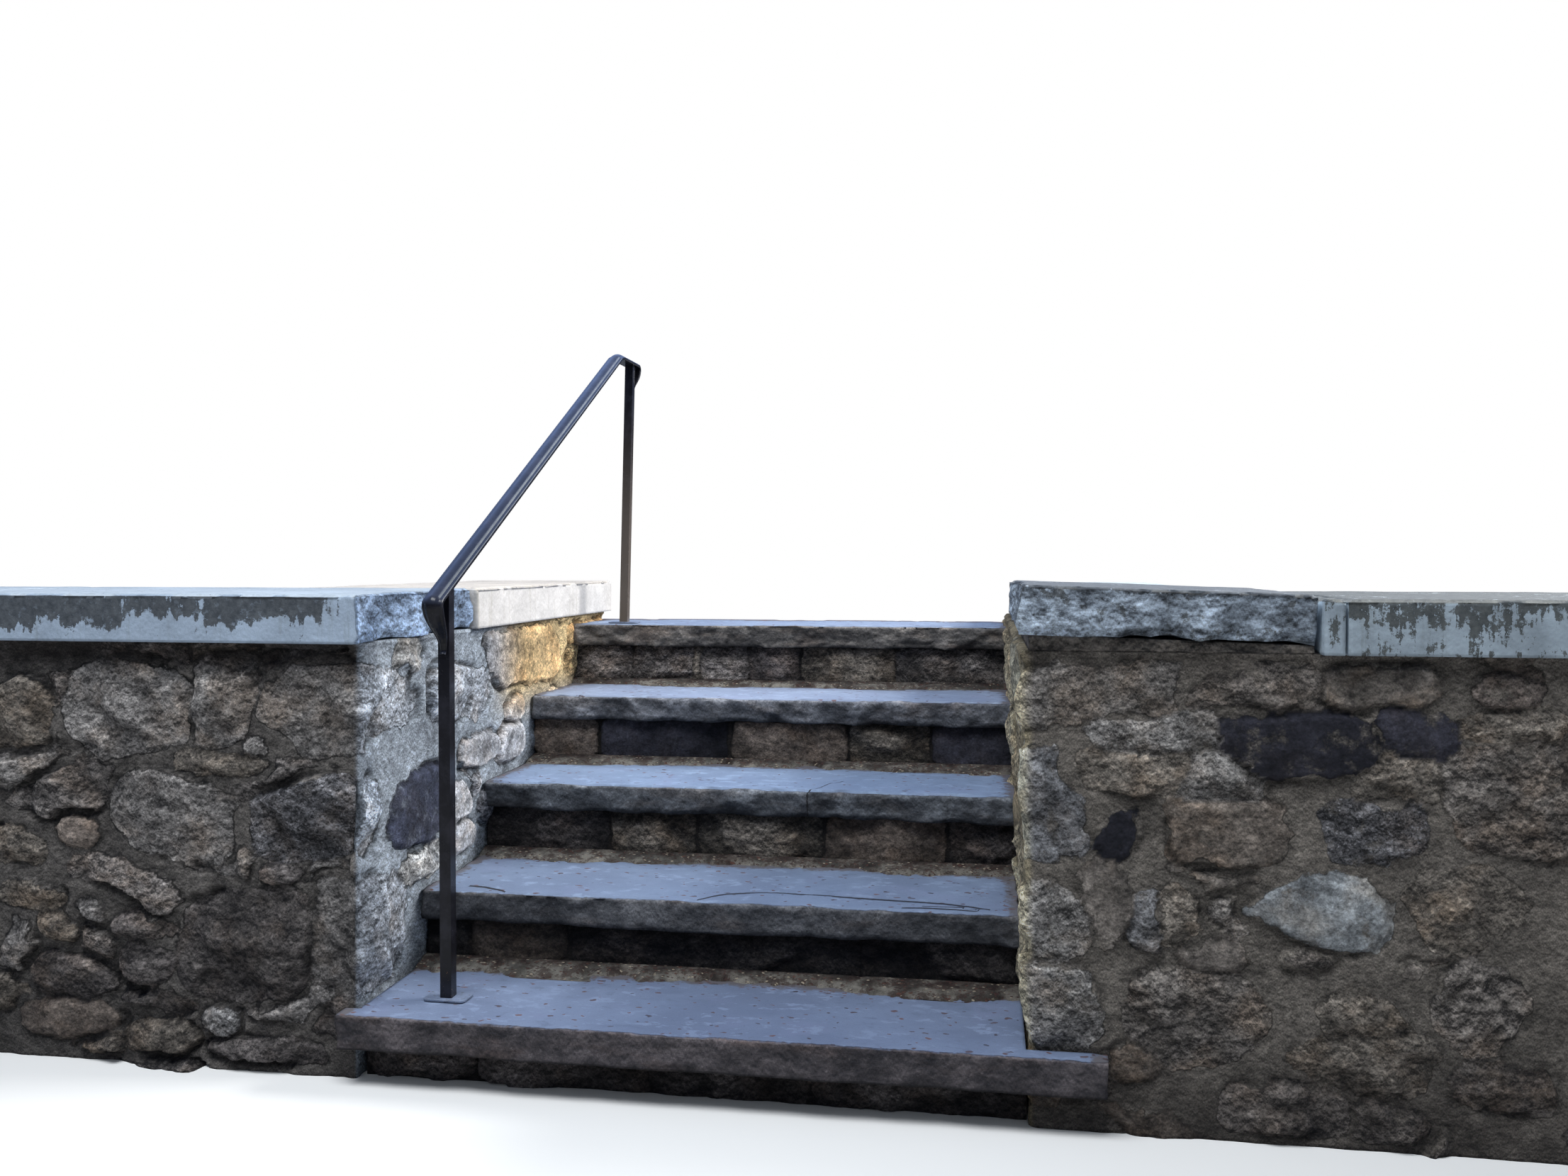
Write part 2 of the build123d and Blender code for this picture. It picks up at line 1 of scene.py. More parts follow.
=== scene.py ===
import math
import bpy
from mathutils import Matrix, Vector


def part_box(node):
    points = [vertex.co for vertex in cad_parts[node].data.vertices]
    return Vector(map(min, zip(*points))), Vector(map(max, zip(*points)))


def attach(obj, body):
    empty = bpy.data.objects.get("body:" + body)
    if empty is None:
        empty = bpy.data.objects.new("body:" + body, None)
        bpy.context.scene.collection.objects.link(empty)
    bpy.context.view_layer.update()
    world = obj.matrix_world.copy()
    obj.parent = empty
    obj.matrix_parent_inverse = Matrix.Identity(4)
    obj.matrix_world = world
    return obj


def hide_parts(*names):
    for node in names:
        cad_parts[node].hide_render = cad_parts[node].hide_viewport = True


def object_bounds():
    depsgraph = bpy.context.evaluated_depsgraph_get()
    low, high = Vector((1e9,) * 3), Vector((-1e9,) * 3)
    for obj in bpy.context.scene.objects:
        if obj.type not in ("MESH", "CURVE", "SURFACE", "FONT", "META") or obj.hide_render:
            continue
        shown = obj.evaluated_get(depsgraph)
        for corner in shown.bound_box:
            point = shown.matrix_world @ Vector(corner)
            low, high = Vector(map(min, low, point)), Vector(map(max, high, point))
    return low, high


bl_info = {
    "name": "Outdoor stone steps",
    "version": (1, 0, 0),
    "blender": (4, 5, 0),
    "location": "3D View > Sidebar > Stone steps",
    "description": "Dresses a flight of stone steps between two fieldstone walls in its real materials",
    "category": "Object",
}

import bpy
import numpy as np
from bpy.props import FloatProperty, FloatVectorProperty, IntProperty, PointerProperty

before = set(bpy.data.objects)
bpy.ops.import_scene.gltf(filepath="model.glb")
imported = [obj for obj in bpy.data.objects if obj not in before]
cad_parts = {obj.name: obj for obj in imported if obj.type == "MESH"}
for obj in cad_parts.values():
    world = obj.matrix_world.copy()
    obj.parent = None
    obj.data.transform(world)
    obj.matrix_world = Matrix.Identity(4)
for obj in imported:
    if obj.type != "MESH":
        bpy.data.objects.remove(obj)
CAD_LOW, CAD_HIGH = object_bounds()

MM = 0.001
SIDES = ("left", "right")
TREADS = (1, 2, 3, 4, 5)

# A point this close to the edge of a box lies on it
EDGE = 1e-6

# Where the walls turn the corner into the passage
LEFT_FRONT_LOW, LEFT_FRONT_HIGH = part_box("left_front_wall")
RIGHT_FRONT_LOW, RIGHT_FRONT_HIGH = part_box("right_front_wall")
LEFT_CHEEK_LOW, LEFT_CHEEK_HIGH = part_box("left_cheek_wall")
_, RIGHT_CHEEK_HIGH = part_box("right_cheek_wall")
WALL_TOP = LEFT_FRONT_HIGH.z
WALL_FRONT = LEFT_FRONT_LOW.y

# Kinds of stone: colour, strength of the speckle and of the banding, slope of the broken faces, and
# swell of the middle and roughness in metres
KINDS = {
    "granite": ((0.228, 0.218, 0.216), 0.7, 0.2, 0.16, 0.006, 0.0030),
    "pale granite": ((0.34, 0.34, 0.35), 0.9, 0.1, 0.15, 0.005, 0.0032),
    "blue granite": ((0.20, 0.225, 0.27), 0.6, 0.2, 0.08, 0.005, 0.0026),
    "boulder": ((0.355, 0.390, 0.425), 0.12, 0.05, 0.02, 0.012, 0.0010),
    "slate": ((0.031, 0.031, 0.042), 0.1, 0.2, 0.015, 0.001, 0.0009),
    "brown stone": ((0.172, 0.140, 0.120), 0.3, 0.2, 0.03, 0.002, 0.0018),
    "tan gneiss": ((0.218, 0.192, 0.165), 0.5, 0.7, 0.12, 0.005, 0.0030),
    "banded gneiss": ((0.155, 0.142, 0.138), 0.4, 1.0, 0.13, 0.003, 0.0038),
    "dark speckle": ((0.14, 0.14, 0.152), 1.5, 0.4, 0.13, 0.004, 0.0036),
    "dark schist": ((0.088, 0.079, 0.079), 0.4, 0.6, 0.12, 0.003, 0.0032),
    "rusty stone": ((0.088, 0.062, 0.060), 0.3, 0.3, 0.07, 0.006, 0.0024),
    "flush stone": ((0.160, 0.142, 0.132), 0.15, 0.1, 0.012, 0.001, 0.0014),
}

# The kinds whose corners were knocked off twice, and those that take less of the mortar's dust
ROUNDED_KINDS = ("boulder", "rusty stone")
DUST_SHARES = {"boulder": 0.3, "slate": 0.0, "dark speckle": 0.1}

# The stones that face the passage corner, as they lie in each wall: kind, lightness, slope of the
# bed in degrees, and outline in millimetres along the wall from the corner and up from the ground
LEFT_STONES = [
    ("granite", 0.95, 8, [(-215, 740), (-205, 780), (-150, 815), (-100, 822), (0, 828), (84, 812),
        (164, 790), (244, 760), (274, 725), (262, 695), (184, 688), (84, 690), (0, 658), (-70, 645),
        (-120, 645), (-150, 680), (-190, 700), (-215, 718)]),
    ("granite", 0.95, 82, [(-355, 800), (-335, 825), (-290, 832), (-228, 826), (-220, 790), (-226, 740),
        (-240, 700), (-262, 664), (-310, 655), (-350, 668), (-356, 720)]),
    ("granite", 1.15, -28, [(-635, 780), (-600, 815), (-550, 824), (-470, 822), (-392, 806), (-366, 740),
        (-372, 668), (-430, 650), (-490, 640), (-560, 630), (-620, 650), (-650, 700)]),
    ("tan gneiss", 0.92, 20, [(-830, 750), (-770, 785), (-720, 790), (-685, 760), (-675, 700), (-690, 660),
        (-750, 643), (-832, 650)]),
    ("tan gneiss", 0.75, 2, [(-410, 622), (-392, 641), (-330, 642), (-212, 640), (-190, 628), (-212, 607),
        (-252, 596), (-312, 602), (-392, 598)]),
    ("granite", 1.0, 40, [(-242, 660), (-222, 674), (-200, 656), (-198, 644), (-242, 646)]),
    ("granite", 0.85, -8, [(-540, 570), (-500, 602), (-430, 604), (-350, 584), (-282, 562), (-270, 520),
        (-275, 478), (-290, 430), (-340, 415), (-400, 420), (-460, 440), (-510, 470), (-550, 505)]),
    ("dark speckle", 0.85, -35, [(-235, 528), (-220, 550), (-150, 577), (-90, 602), (-12, 604), (-4, 560),
        (-4, 480), (-20, 455), (-50, 445), (-130, 440), (-180, 430), (-220, 450), (-232, 490)]),
    ("banded gneiss", 1.25, -14, [(-650, 400), (-620, 422), (-560, 432), (-510, 422), (-450, 395),
        (-400, 372), (-390, 332), (-410, 315), (-450, 308), (-490, 345), (-550, 372), (-620, 380)]),
    ("dark schist", 1.0, -8, [(-545, 290), (-500, 310), (-450, 298), (-395, 298), (-392, 270), (-440, 258),
        (-500, 260), (-540, 272)]),
    ("granite", 0.8, -25, [(-630, 322), (-590, 328), (-545, 302), (-552, 285), (-600, 298)]),
    ("tan gneiss", 0.7, -20, [(-712, 292), (-680, 304), (-622, 262), (-640, 248), (-705, 250)]),
    ("dark schist", 0.8, -6, [(-388, 285), (-372, 338), (-300, 358), (-220, 372), (-150, 376), (-112, 360),
        (-110, 280), (-120, 200), (-150, 160), (-210, 152), (-300, 140), (-370, 150), (-400, 190),
        (-396, 245)]),
    ("granite", 0.92, -55, [(-100, 380), (-90, 396), (-50, 398), (0, 394), (60, 392), (140, 382),
        (186, 358), (214, 300), (206, 205), (184, 165), (84, 152), (0, 168), (-50, 180), (-98, 198),
        (-106, 280)]),
    ("dark schist", 1.2, 0, [(-222, 408), (-180, 422), (-130, 408), (-148, 386), (-210, 388)]),
    ("pale granite", 0.8, -15, [(-350, 100), (-335, 124), (-280, 126), (-262, 106), (-266, 76), (-300, 72),
        (-342, 88)]),
    ("dark schist", 1.0, -22, [(-700, 225), (-600, 215), (-545, 180), (-530, 150), (-600, 128), (-700, 140),
        (-740, 180)]),
    ("brown stone", 1.0, 3, [(-760, 112), (-650, 120), (-545, 116), (-528, 84), (-600, 52), (-750, 50)]),
    ("tan gneiss", 0.8, 4, [(-520, 84), (-450, 94), (-380, 84), (-352, 52), (-400, 30), (-510, 32)]),
    ("dark schist", 1.1, 0, [(-340, 50), (-250, 68), (-150, 70), (-70, 60), (-70, 30), (-200, 24),
        (-330, 26)]),
    ("tan gneiss", 0.85, 10, [(-830, 470), (-750, 475), (-690, 440), (-720, 405), (-830, 405)]),
    ("brown stone", 1.1, -10, [(-670, 492), (-600, 502), (-560, 470), (-600, 445), (-660, 450)]),
    ("dark schist", 1.0, 15, [(-524, 240), (-440, 248), (-402, 228), (-412, 180), (-470, 160),
        (-530, 190)]),
    ("tan gneiss", 0.75, -12, [(-800, 350), (-740, 372), (-660, 352), (-650, 320), (-700, 312),
        (-790, 318)]),
    ("granite", 0.85, -6, [(309, 740), (314, 780), (344, 802), (434, 790), (534, 772), (634, 750),
        (669, 728), (654, 680), (604, 655), (504, 660), (404, 670), (324, 680)]),
    ("slate", 1.0, -20, [(124, 470), (144, 530), (184, 552), (284, 572), (364, 572), (400, 555), (402, 450),
        (385, 415), (284, 408), (184, 420), (134, 448)]),
    ("pale granite", 1.0, 80, [(19, 450), (24, 580), (54, 600), (79, 560), (84, 460), (54, 440)]),
    ("flush stone", 2.0, 0, [(724, 515), (720, 560), (744, 600), (834, 606), (890, 596), (896, 530),
        (834, 512)]),
    ("flush stone", 1.9, 0, [(784, 612), (780, 665), (834, 682), (880, 670), (876, 618)]),
    ("tan gneiss", 1.1, 4, [(184, 380), (284, 396), (372, 382), (376, 342), (284, 334), (204, 342)]),
    ("flush stone", 1.6, 10, [(454, 402), (534, 414), (568, 385), (560, 345), (460, 340)]),
    ("flush stone", 1.8, 30, [(444, 505), (504, 512), (540, 475), (550, 425), (454, 415)]),
    ("flush stone", 1.7, -18, [(620, 845), (800, 850), (1084, 846), (1164, 800), (1184, 720), (1134, 690),
        (984, 700), (834, 712), (734, 702), (684, 740), (634, 790)]),
    ("flush stone", 1.5, 2, [(474, 600), (560, 608), (700, 600), (722, 560), (700, 535), (600, 530),
        (480, 540)]),
    ("brown stone", 1.1, 4, [(1240, 840), (1400, 845), (1590, 842), (1590, 780), (1400, 776), (1250, 786)]),
    ("granite", 1.0, 4, [(1220, 768), (1400, 762), (1590, 768), (1590, 700), (1400, 706), (1240, 700)]),
]
RIGHT_STONES = [
    ("granite", 1.0, 2, [(-130, 740), (0, 733), (50, 735), (150, 750), (250, 760), (255, 800), (250, 845),
        (150, 838), (0, 832), (-120, 835)]),
    ("pale granite", 0.8, 6, [(100, 738), (180, 752), (330, 757), (336, 702), (280, 694), (200, 690),
        (120, 700)]),
    ("tan gneiss", 0.85, 8, [(88, 668), (96, 690), (180, 686), (272, 690), (280, 665), (262, 632),
        (190, 618), (120, 625)]),
    ("pale granite", 0.72, -10, [(290, 690), (340, 694), (378, 668), (400, 650), (410, 625), (380, 606),
        (290, 604), (262, 625), (285, 660)]),
    ("slate", 0.95, 0, [(326, 735), (340, 750), (352, 748), (440, 752), (580, 762), (587, 700), (584, 680),
        (510, 656), (390, 650), (368, 670), (350, 690), (328, 702)]),
    ("slate", 1.5, -20, [(600, 768), (630, 773), (705, 760), (712, 702), (640, 694), (620, 720),
        (592, 758)]),
    ("dark schist", 0.9, 4, [(275, 770), (300, 800), (350, 832), (420, 842), (500, 842), (508, 798),
        (490, 776), (400, 788), (330, 782)]),
    ("flush stone", 0.9, 0, [(515, 782), (560, 780), (680, 790), (696, 820), (670, 842), (600, 850),
        (520, 842), (506, 812)]),
    ("rusty stone", 0.8, 0, [(750, 808), (768, 828), (820, 834), (850, 822), (862, 800), (840, 780),
        (800, 778), (762, 788)]),
    ("banded gneiss", 0.95, 32, [(705, 660), (730, 690), (800, 716), (890, 722), (960, 700), (975, 600),
        (930, 532), (850, 525), (770, 540), (715, 562)]),
    ("tan gneiss", 0.7, 8, [(735, 730), (745, 762), (850, 776), (930, 770), (960, 735), (890, 732),
        (800, 726)]),
    ("dark speckle", 1.1, 0, [(498, 580), (515, 600), (550, 606), (660, 612), (676, 570), (666, 540),
        (620, 520), (550, 515), (510, 530)]),
    ("tan gneiss", 0.7, 20, [(560, 622), (556, 655), (600, 690), (660, 688), (692, 650), (690, 618),
        (660, 620)]),
    ("brown stone", 1.0, 0, [(254, 600), (320, 606), (430, 601), (446, 560), (446, 510), (390, 496),
        (336, 500), (256, 504), (250, 550)]),
    ("slate", 0.75, 30, [(125, 530), (136, 556), (150, 576), (172, 582), (196, 560), (192, 530), (180, 508),
        (160, 500), (140, 514)]),
    ("blue granite", 1.0, -50, [(-130, 690), (0, 694), (36, 692), (52, 650), (72, 600), (96, 570),
        (100, 522), (80, 505), (0, 498), (-130, 500)]),
    ("pale granite", 0.9, 20, [(-110, 430), (0, 428), (10, 448), (50, 432), (90, 422), (112, 380),
        (116, 340), (70, 312), (0, 308), (-110, 310)]),
    ("pale granite", 0.82, -10, [(-120, 300), (0, 304), (100, 292), (116, 260), (140, 212), (140, 180),
        (90, 156), (20, 150), (0, 160), (-120, 160)]),
    ("blue granite", 0.8, 0, [(180, 340), (184, 410), (190, 440), (225, 440), (232, 390), (232, 345),
        (215, 332)]),
    ("tan gneiss", 1.3, 10, [(236, 348), (236, 400), (230, 440), (262, 452), (294, 442), (296, 402),
        (302, 372), (270, 350)]),
    ("flush stone", 1.1, 30, [(100, 480), (160, 476), (188, 430), (180, 380), (150, 336), (126, 322),
        (118, 370), (94, 420)]),
    ("boulder", 1.0, -8, [(372, 410), (400, 430), (440, 465), (490, 482), (550, 468), (600, 442),
        (618, 410), (612, 380), (572, 356), (520, 350), (470, 364), (430, 390)]),
    ("tan gneiss", 0.78, 40, [(655, 480), (700, 496), (790, 496), (822, 460), (816, 410), (780, 370),
        (730, 358), (680, 368), (655, 420)]),
    ("banded gneiss", 0.95, 2, [(170, 260), (190, 290), (250, 302), (330, 302), (400, 282), (426, 240),
        (420, 200), (380, 165), (330, 140), (270, 134), (220, 150), (180, 180), (170, 220)]),
    ("tan gneiss", 1.0, 0, [(500, 230), (520, 260), (560, 276), (610, 262), (646, 236), (650, 214),
        (590, 206), (510, 208)]),
    ("tan gneiss", 0.72, 0, [(465, 165), (490, 188), (530, 198), (680, 202), (700, 180), (680, 140),
        (640, 115), (600, 100), (550, 105), (510, 130), (470, 150)]),
    ("banded gneiss", 1.0, 50, [(690, 280), (710, 320), (750, 342), (820, 322), (850, 280), (840, 250),
        (810, 220), (790, 190), (740, 180), (710, 210), (700, 250)]),
    ("brown stone", 0.9, 10, [(150, 156), (215, 160), (225, 120), (215, 100), (155, 104)]),
    ("dark schist", 1.2, 0, [(350, 95), (450, 106), (550, 92), (552, 40), (470, 20), (350, 28)]),
    ("dark schist", 1.0, 0, [(565, 86), (660, 68), (700, 40), (640, 20), (570, 25)]),
    ("dark schist", 1.2, 10, [(725, 150), (800, 165), (890, 150), (890, 100), (800, 85), (725, 100)]),
    ("flush stone", 1.2, 0, [(265, 330), (330, 352), (380, 330), (370, 308), (280, 310)]),
    ("dark schist", 1.0, 0, [(430, 343), (480, 348), (530, 330), (500, 315), (440, 320)]),
]

# How the stones of each wall stand in their mortar, in metres: how far they stand out (proud), the
# mortar's level and its lumps, the width over which a stone's edge rolls off, how much its outline
# grows, how far the passage side leans, how deep the joints open (crevice), and how far mortar is
# smeared over the edges. Shares: mortar slopped on the faces, its dust in their colour (blend) and
# cracked joints, whose near-black lines are painted shadow with dirt. Dim darkens the stones. Fills
# are the small stones packed between the others, by range along the wall, size across and up, and
# share that is there
WALLS = {
    "left": dict(proud=0.002, mortar=-0.010, lumps=0.0050, roll=0.009, grow=0.006, lean=0.018, smear=0.009,
        slop=0.45, blend=0.20, crevice=0.012, crack=0.75, mortar_colour=(0.212, 0.196, 0.184),
        fills=((-0.86, -0.02, 0.210, 0.095, 0.75), (-0.02, 1.62, 0.130, 0.075, 0.18)),
        fill_kinds=("dark schist", "banded gneiss", "tan gneiss", "granite", "dark schist", "banded gneiss")),
    "right": dict(dim=0.84, proud=0.001, mortar=-0.005, lumps=0.0028, roll=0.010, grow=0.008, lean=0.020,
        smear=0.016, slop=1.0, blend=0.38, crevice=0.005, crack=0.25, mortar_colour=(0.246, 0.222, 0.197),
        fills=((-0.16, 0.99, 0.125, 0.070, 0.22),),
        fill_kinds=("brown stone", "flush stone", "tan gneiss", "granite", "dark schist", "banded gneiss")),
}

# The faces that aren't seen from the front have squarer stones in rough courses, as the solids
# have them: courses in a wall, lengths of the stones, places skipped from course to course, joint
# and knocked-off corner in millimetres
COURSES = dict(count=5, lengths=(310, 240, 275, 330, 225), skip=2, joint=14, corner=34)
COURSE_KINDS = ("granite", "tan gneiss", "dark schist", "banded gneiss", "brown stone", "blue granite",
                "pale granite")

# Broken faces round each stone, and the depth inside a stone of a place that is in none
BROKEN_FACES = 6
OUT_IN_MORTAR = -0.05

# How far the drawn stones of each wall reach, in millimetres along the front and into the passage
DRAWN_REACH = dict(left=(840, 1600), right=(985, 140))

# Painted light: how much lighter the passage sides are painted than the fronts, as the light falls
# on them, for the stones and for the mortar. The far upper end of the left one has painted sunlight
SHADED_TONES = ((1.40, 1.62, 1.92), (1.90, 2.35, 2.95))
SUNLIT_TONES = ((2.60, 2.10, 1.22), (3.30, 2.75, 1.65))
RIGHT_TONES = ((2.3, 2.2, 1.7), (2.3, 2.2, 1.7))

# The walls in plan: the number of the passage corner, the radius of every corner, and how far the
# rough backs of the walls and of the core lie inside the solids
PASSAGE_CORNER = 2
CORNER_RADIUS = 0.022
WALL_REAR_INSET = 0.004
CORE_REAR_INSET = 0.014

# The riser stones of each course, bottom course first: kind, lightness, and their ends along the
# course in millimetres
RISER_STONES = [
    [("dark schist", 0.9, -650, -424), ("dark schist", 0.8, -416, -64), ("dark schist", 0.9, -56, 246),
     ("dark schist", 0.8, 254, 650)],
    [("dark schist", 0.20, -650, -551), ("brown stone", 0.26, -540, -328), ("dark schist", 0.34, -318, -62),
     ("dark schist", 0.36, -54, 312), ("dark schist", 0.32, 320, 650)],
    [("dark schist", 0.6, -650, -338), ("tan gneiss", 0.5, -328, -122), ("tan gneiss", 0.48, -106, 188),
     ("brown stone", 0.8, 202, 478), ("dark schist", 0.8, 492, 650)],
    [("brown stone", 0.75, -650, -470), ("slate", 0.9, -458, -110), ("brown stone", 0.72, -94, 214),
     ("tan gneiss", 0.62, 224, 433), ("slate", 0.95, 442, 650)],
    [("banded gneiss", 1.0, -650, -472), ("banded gneiss", 1.15, -468, -284),
     ("tan gneiss", 1.1, -281, -262), ("banded gneiss", 1.2, -258, -118), ("dark schist", 1.2, -108, 36),
     ("tan gneiss", 0.85, 46, 318), ("banded gneiss", 1.1, 328, 650)],
]

# How the riser stones are bedded, and the stones at the back of the core
RISER_BEDDING = dict(proud=-0.003, mortar=-0.012, lumps=0.003, roll=0.005, grow=0.006, blend=0.1,
    mortar_colour=(0.055, 0.046, 0.040))
CORE_BEDDING = dict(WALLS["left"], proud=0.003, mortar=-0.010, fills=((-9, 9, 0.27, 0.155, 1.0),))

# The treads, bottom one first: depth of the scoops left by the pitching tool along the front edge,
# its roughness and the strength of its layers, colour of the face and of the top, and how far a
# crack reaches on each side of its line (split), where it isn't thin
# The blue of the tops is partly the stone's and partly painted skylight
TREAD_LOOKS = [
    dict(scoops=0.004, rough=0.0012, layers=0.0, face=(0.047, 0.041, 0.043), top=(0.162, 0.208, 0.312)),
    dict(scoops=0.009, rough=0.0018, layers=0.0, split=0.0075, face=(0.048, 0.049, 0.053),
        top=(0.184, 0.240, 0.350)),
    dict(scoops=0.016, rough=0.0026, layers=0.0, face=(0.053, 0.058, 0.066), top=(0.200, 0.268, 0.392)),
    dict(scoops=0.016, rough=0.0036, layers=0.2, face=(0.074, 0.078, 0.089), top=(0.243, 0.298, 0.412)),
    dict(scoops=0.012, rough=0.0032, layers=0.8, face=(0.083, 0.077, 0.072), top=(0.215, 0.270, 0.375)),
]

# The cracks in the tops of the treads, by tread: lines of points in metres, along the tread and
# into it. Some run along the tread, and one runs into it from the front edge
CRACKS_ALONG = {
    2: [[(-0.035, -0.494), (-0.005, -0.454), (0.021, -0.432), (0.07, -0.417), (0.126, -0.408),
         (0.247, -0.415), (0.36, -0.425), (0.488, -0.436), (0.55, -0.452), (0.585, -0.470)],
        [(-0.565, -0.455), (-0.52, -0.462), (-0.48, -0.480), (-0.455, -0.502)],
        [(0.40, -0.482), (0.45, -0.474), (0.52, -0.478), (0.56, -0.486)]],
}
CRACKS_INWARD = {
    3: [[(0.16, -0.172), (0.185, -0.120), (0.20, -0.060), (0.24, -0.010)]],
}

# How far a thin crack reaches on each side of its line, and about how far a tread runs back under
# the riser that stands on it, in metres
THIN_CRACK = 0.0022
UNDER_RISER = 0.112

# Each coping slab: its rock-faced sides, how its front and top are stained, and its finish. The
# shaded finish is painted shade and the sunlit one painted sunlight
COPINGS = {
    "left_coping_corner": dict(rock=("passage",), stain="ragged", finish="shaded"),
    "left_coping_outer": dict(rock=("outer",), stain="ragged", finish="shaded"),
    "left_coping_cheek": dict(rock=(), stain="light", finish="sunlit"),
    "right_coping_corner": dict(rock=("front", "passage"), stain="none", finish="bare"),
    "right_coping_filler": dict(rock=(), stain="drips", finish="drips"),
    "right_coping_long": dict(rock=("outer",), stain="drips", finish="drips"),
    "right_coping_cheek": dict(rock=(), stain="light", finish="drips"),
}

# The corner slab that was reset at a tilt, and its thickness square to its own bed
TILTED_COPING = "right_coping_corner"
TILTED_THICKNESS = 0.090

# Camera, fitted to the edges of the treads and copings
CAMERA_PLACE = (0.566, -3.055, 1.032)
CAMERA_TURN = math.radians(9.08)
CAMERA_DIP = math.radians(1.29)
CAMERA_LENS_MM = 28.45
CAMERA_FILM_MM = 36.0

# Half the width of the floor, and where gloss paint sees the brightest part of the surround, which
# is behind the steps and to their right
FLOOR_HALF = 14.0
SHEEN_DIRECTION = (0.48, 0.47, 0.74)


# Settings


class StepsMeshSettings(bpy.types.PropertyGroup):
    """How finely the stone surfaces are made"""

    seen_step: FloatProperty(
        name="Seen face spacing", description="Distance between points on the faces seen from the front",
        default=0.0065, min=0.003, max=0.03, unit="LENGTH", precision=4)
    hidden_step: FloatProperty(
        name="Hidden face spacing", description="Distance between points on the ends and backs",
        default=0.016, min=0.005, max=0.05, unit="LENGTH", precision=4)
    seed: IntProperty(
        name="Seed", description="Changes the stones that are laid by chance", default=7, min=0)


class StepsColourSettings(bpy.types.PropertyGroup):
    """Colours of the finishes that a user would change"""

    # The limewash's blue is painted skylight of the shade it stands in; the paint itself is white
    limewash: FloatVectorProperty(
        name="Limewash", description="Pale paint on the copings", subtype="COLOR", size=3, min=0, max=1,
        default=(0.50, 0.590, 0.705))
    weather_stain: FloatVectorProperty(
        name="Weather stain", description="Dark growth where the limewash is gone", subtype="COLOR", size=3,
        min=0, max=1, default=(0.078, 0.088, 0.098))
    strip_mortar: FloatVectorProperty(
        name="Strip mortar", description="Sandy mortar along the backs of the treads", subtype="COLOR",
        size=3, min=0, max=1, default=(0.275, 0.262, 0.235))
    rail_paint: FloatVectorProperty(
        name="Handrail paint", description="Gloss paint on the iron", subtype="COLOR", size=3, min=0, max=1,
        default=(0.008, 0.008, 0.011))


class StepsStageSettings(bpy.types.PropertyGroup):
    """Light and floor"""

    key_watts: FloatProperty(
        name="Key light", description="Power of the large soft light above and to the right", default=620.0,
        min=0, unit="POWER")
    top_watts: FloatProperty(
        name="Top light", description="Power of the soft light high in front", default=195.0,
        min=0, unit="POWER")
    sky_strength: FloatProperty(
        name="Surround", description="Strength of the even light from all round", default=0.30, min=0)
    floor_colour: FloatVectorProperty(
        name="Floor", description="Colour of the plain floor", subtype="COLOR", size=3, min=0, max=1,
        default=(0.42, 0.42, 0.42))


# Chance and noise


def chance(cell_x, cell_y, cell_z, seed):
    """A repeatable random number from 0 to 1 for each cell of a lattice."""
    mixed = (cell_x * 73856093) ^ (cell_y * 19349663) ^ (cell_z * 83492791) ^ (seed * 2654435761)
    mixed = ((mixed ^ (mixed >> 13)) * 1274126177) & 0xFFFFFFFF
    return ((mixed ^ (mixed >> 16)) & 0xFFFFFF) / 0xFFFFFF


def swells(points, size, seed):
    """Smooth random heights from -1 to 1 whose bumps are about one size across."""
    cells = points / size
    base = np.floor(cells).astype(np.int64)
    part = cells - base
    part = part * part * (3 - 2 * part)
    total = np.zeros(len(points))
    for corner in np.ndindex(2, 2, 2):
        share = np.ones(len(points))
        for axis in range(3):
            share *= part[:, axis] if corner[axis] else 1 - part[:, axis]
        total += share * chance(*(base + corner).T, seed)
    return total * 2 - 1


def roughness(points, size, seed, octaves=4, keep=0.5):
    """Bumps on bumps: each finer layer is half as wide and keeps a share of the height."""
    total = np.zeros(len(points))
    height = 1.0
    for octave in range(octaves):
        total += height * swells(points, size / 2 ** octave, seed + 17 * octave)
        height *= keep
    return total


def ease(value, start, end):
    """Rises smoothly from 0 at start to 1 at end."""
    share = np.clip((value - start) / (end - start), 0, 1)
    return share * share * (3 - 2 * share)


def ledges(value):
    """Turns smooth heights into flat ledges with short steep faces between them."""
    whole = np.floor(value)
    return whole + ease(value - whole, 0.68, 1.0)


# Laying stones


def worn_outline(outline, rounded):
    """An outline in metres with its corners knocked off: a little for a block, and twice for a cobble."""
    points = np.array(outline, float) * MM
    limit = 1.0 if rounded else 0.014
    for _ in range(2 if rounded else 1):
        run = np.roll(points, -1, axis=0) - points
        share = np.minimum(0.25, limit / np.linalg.norm(run, axis=1))[:, None]
        points = np.stack([points + run * share, points + run * (1 - share)], axis=1).reshape(-1, 2)
    return points


def depth_inside(places, outline):
    """How far each place lies inside an outline. It is negative outside."""
    ahead = np.roll(outline, -1, axis=0)
    run = ahead - outline
    offset = places[:, None] - outline[None]
    share = np.clip((offset * run).sum(-1) / (run * run).sum(-1), 0, 1)
    gap = np.linalg.norm(offset - share[..., None] * run, axis=-1).min(axis=1)
    level = places[:, None, 1]
    crosses = (outline[:, 1] > level) != (ahead[:, 1] > level)
    meets = outline[:, 0] + (level - outline[:, 1]) / np.where(run[:, 1] == 0, 1, run[:, 1]) * run[:, 0]
    odd = (crosses & (places[:, None, 0] < meets)).sum(axis=1) % 2 == 1
    return np.where(odd, gap, -gap)


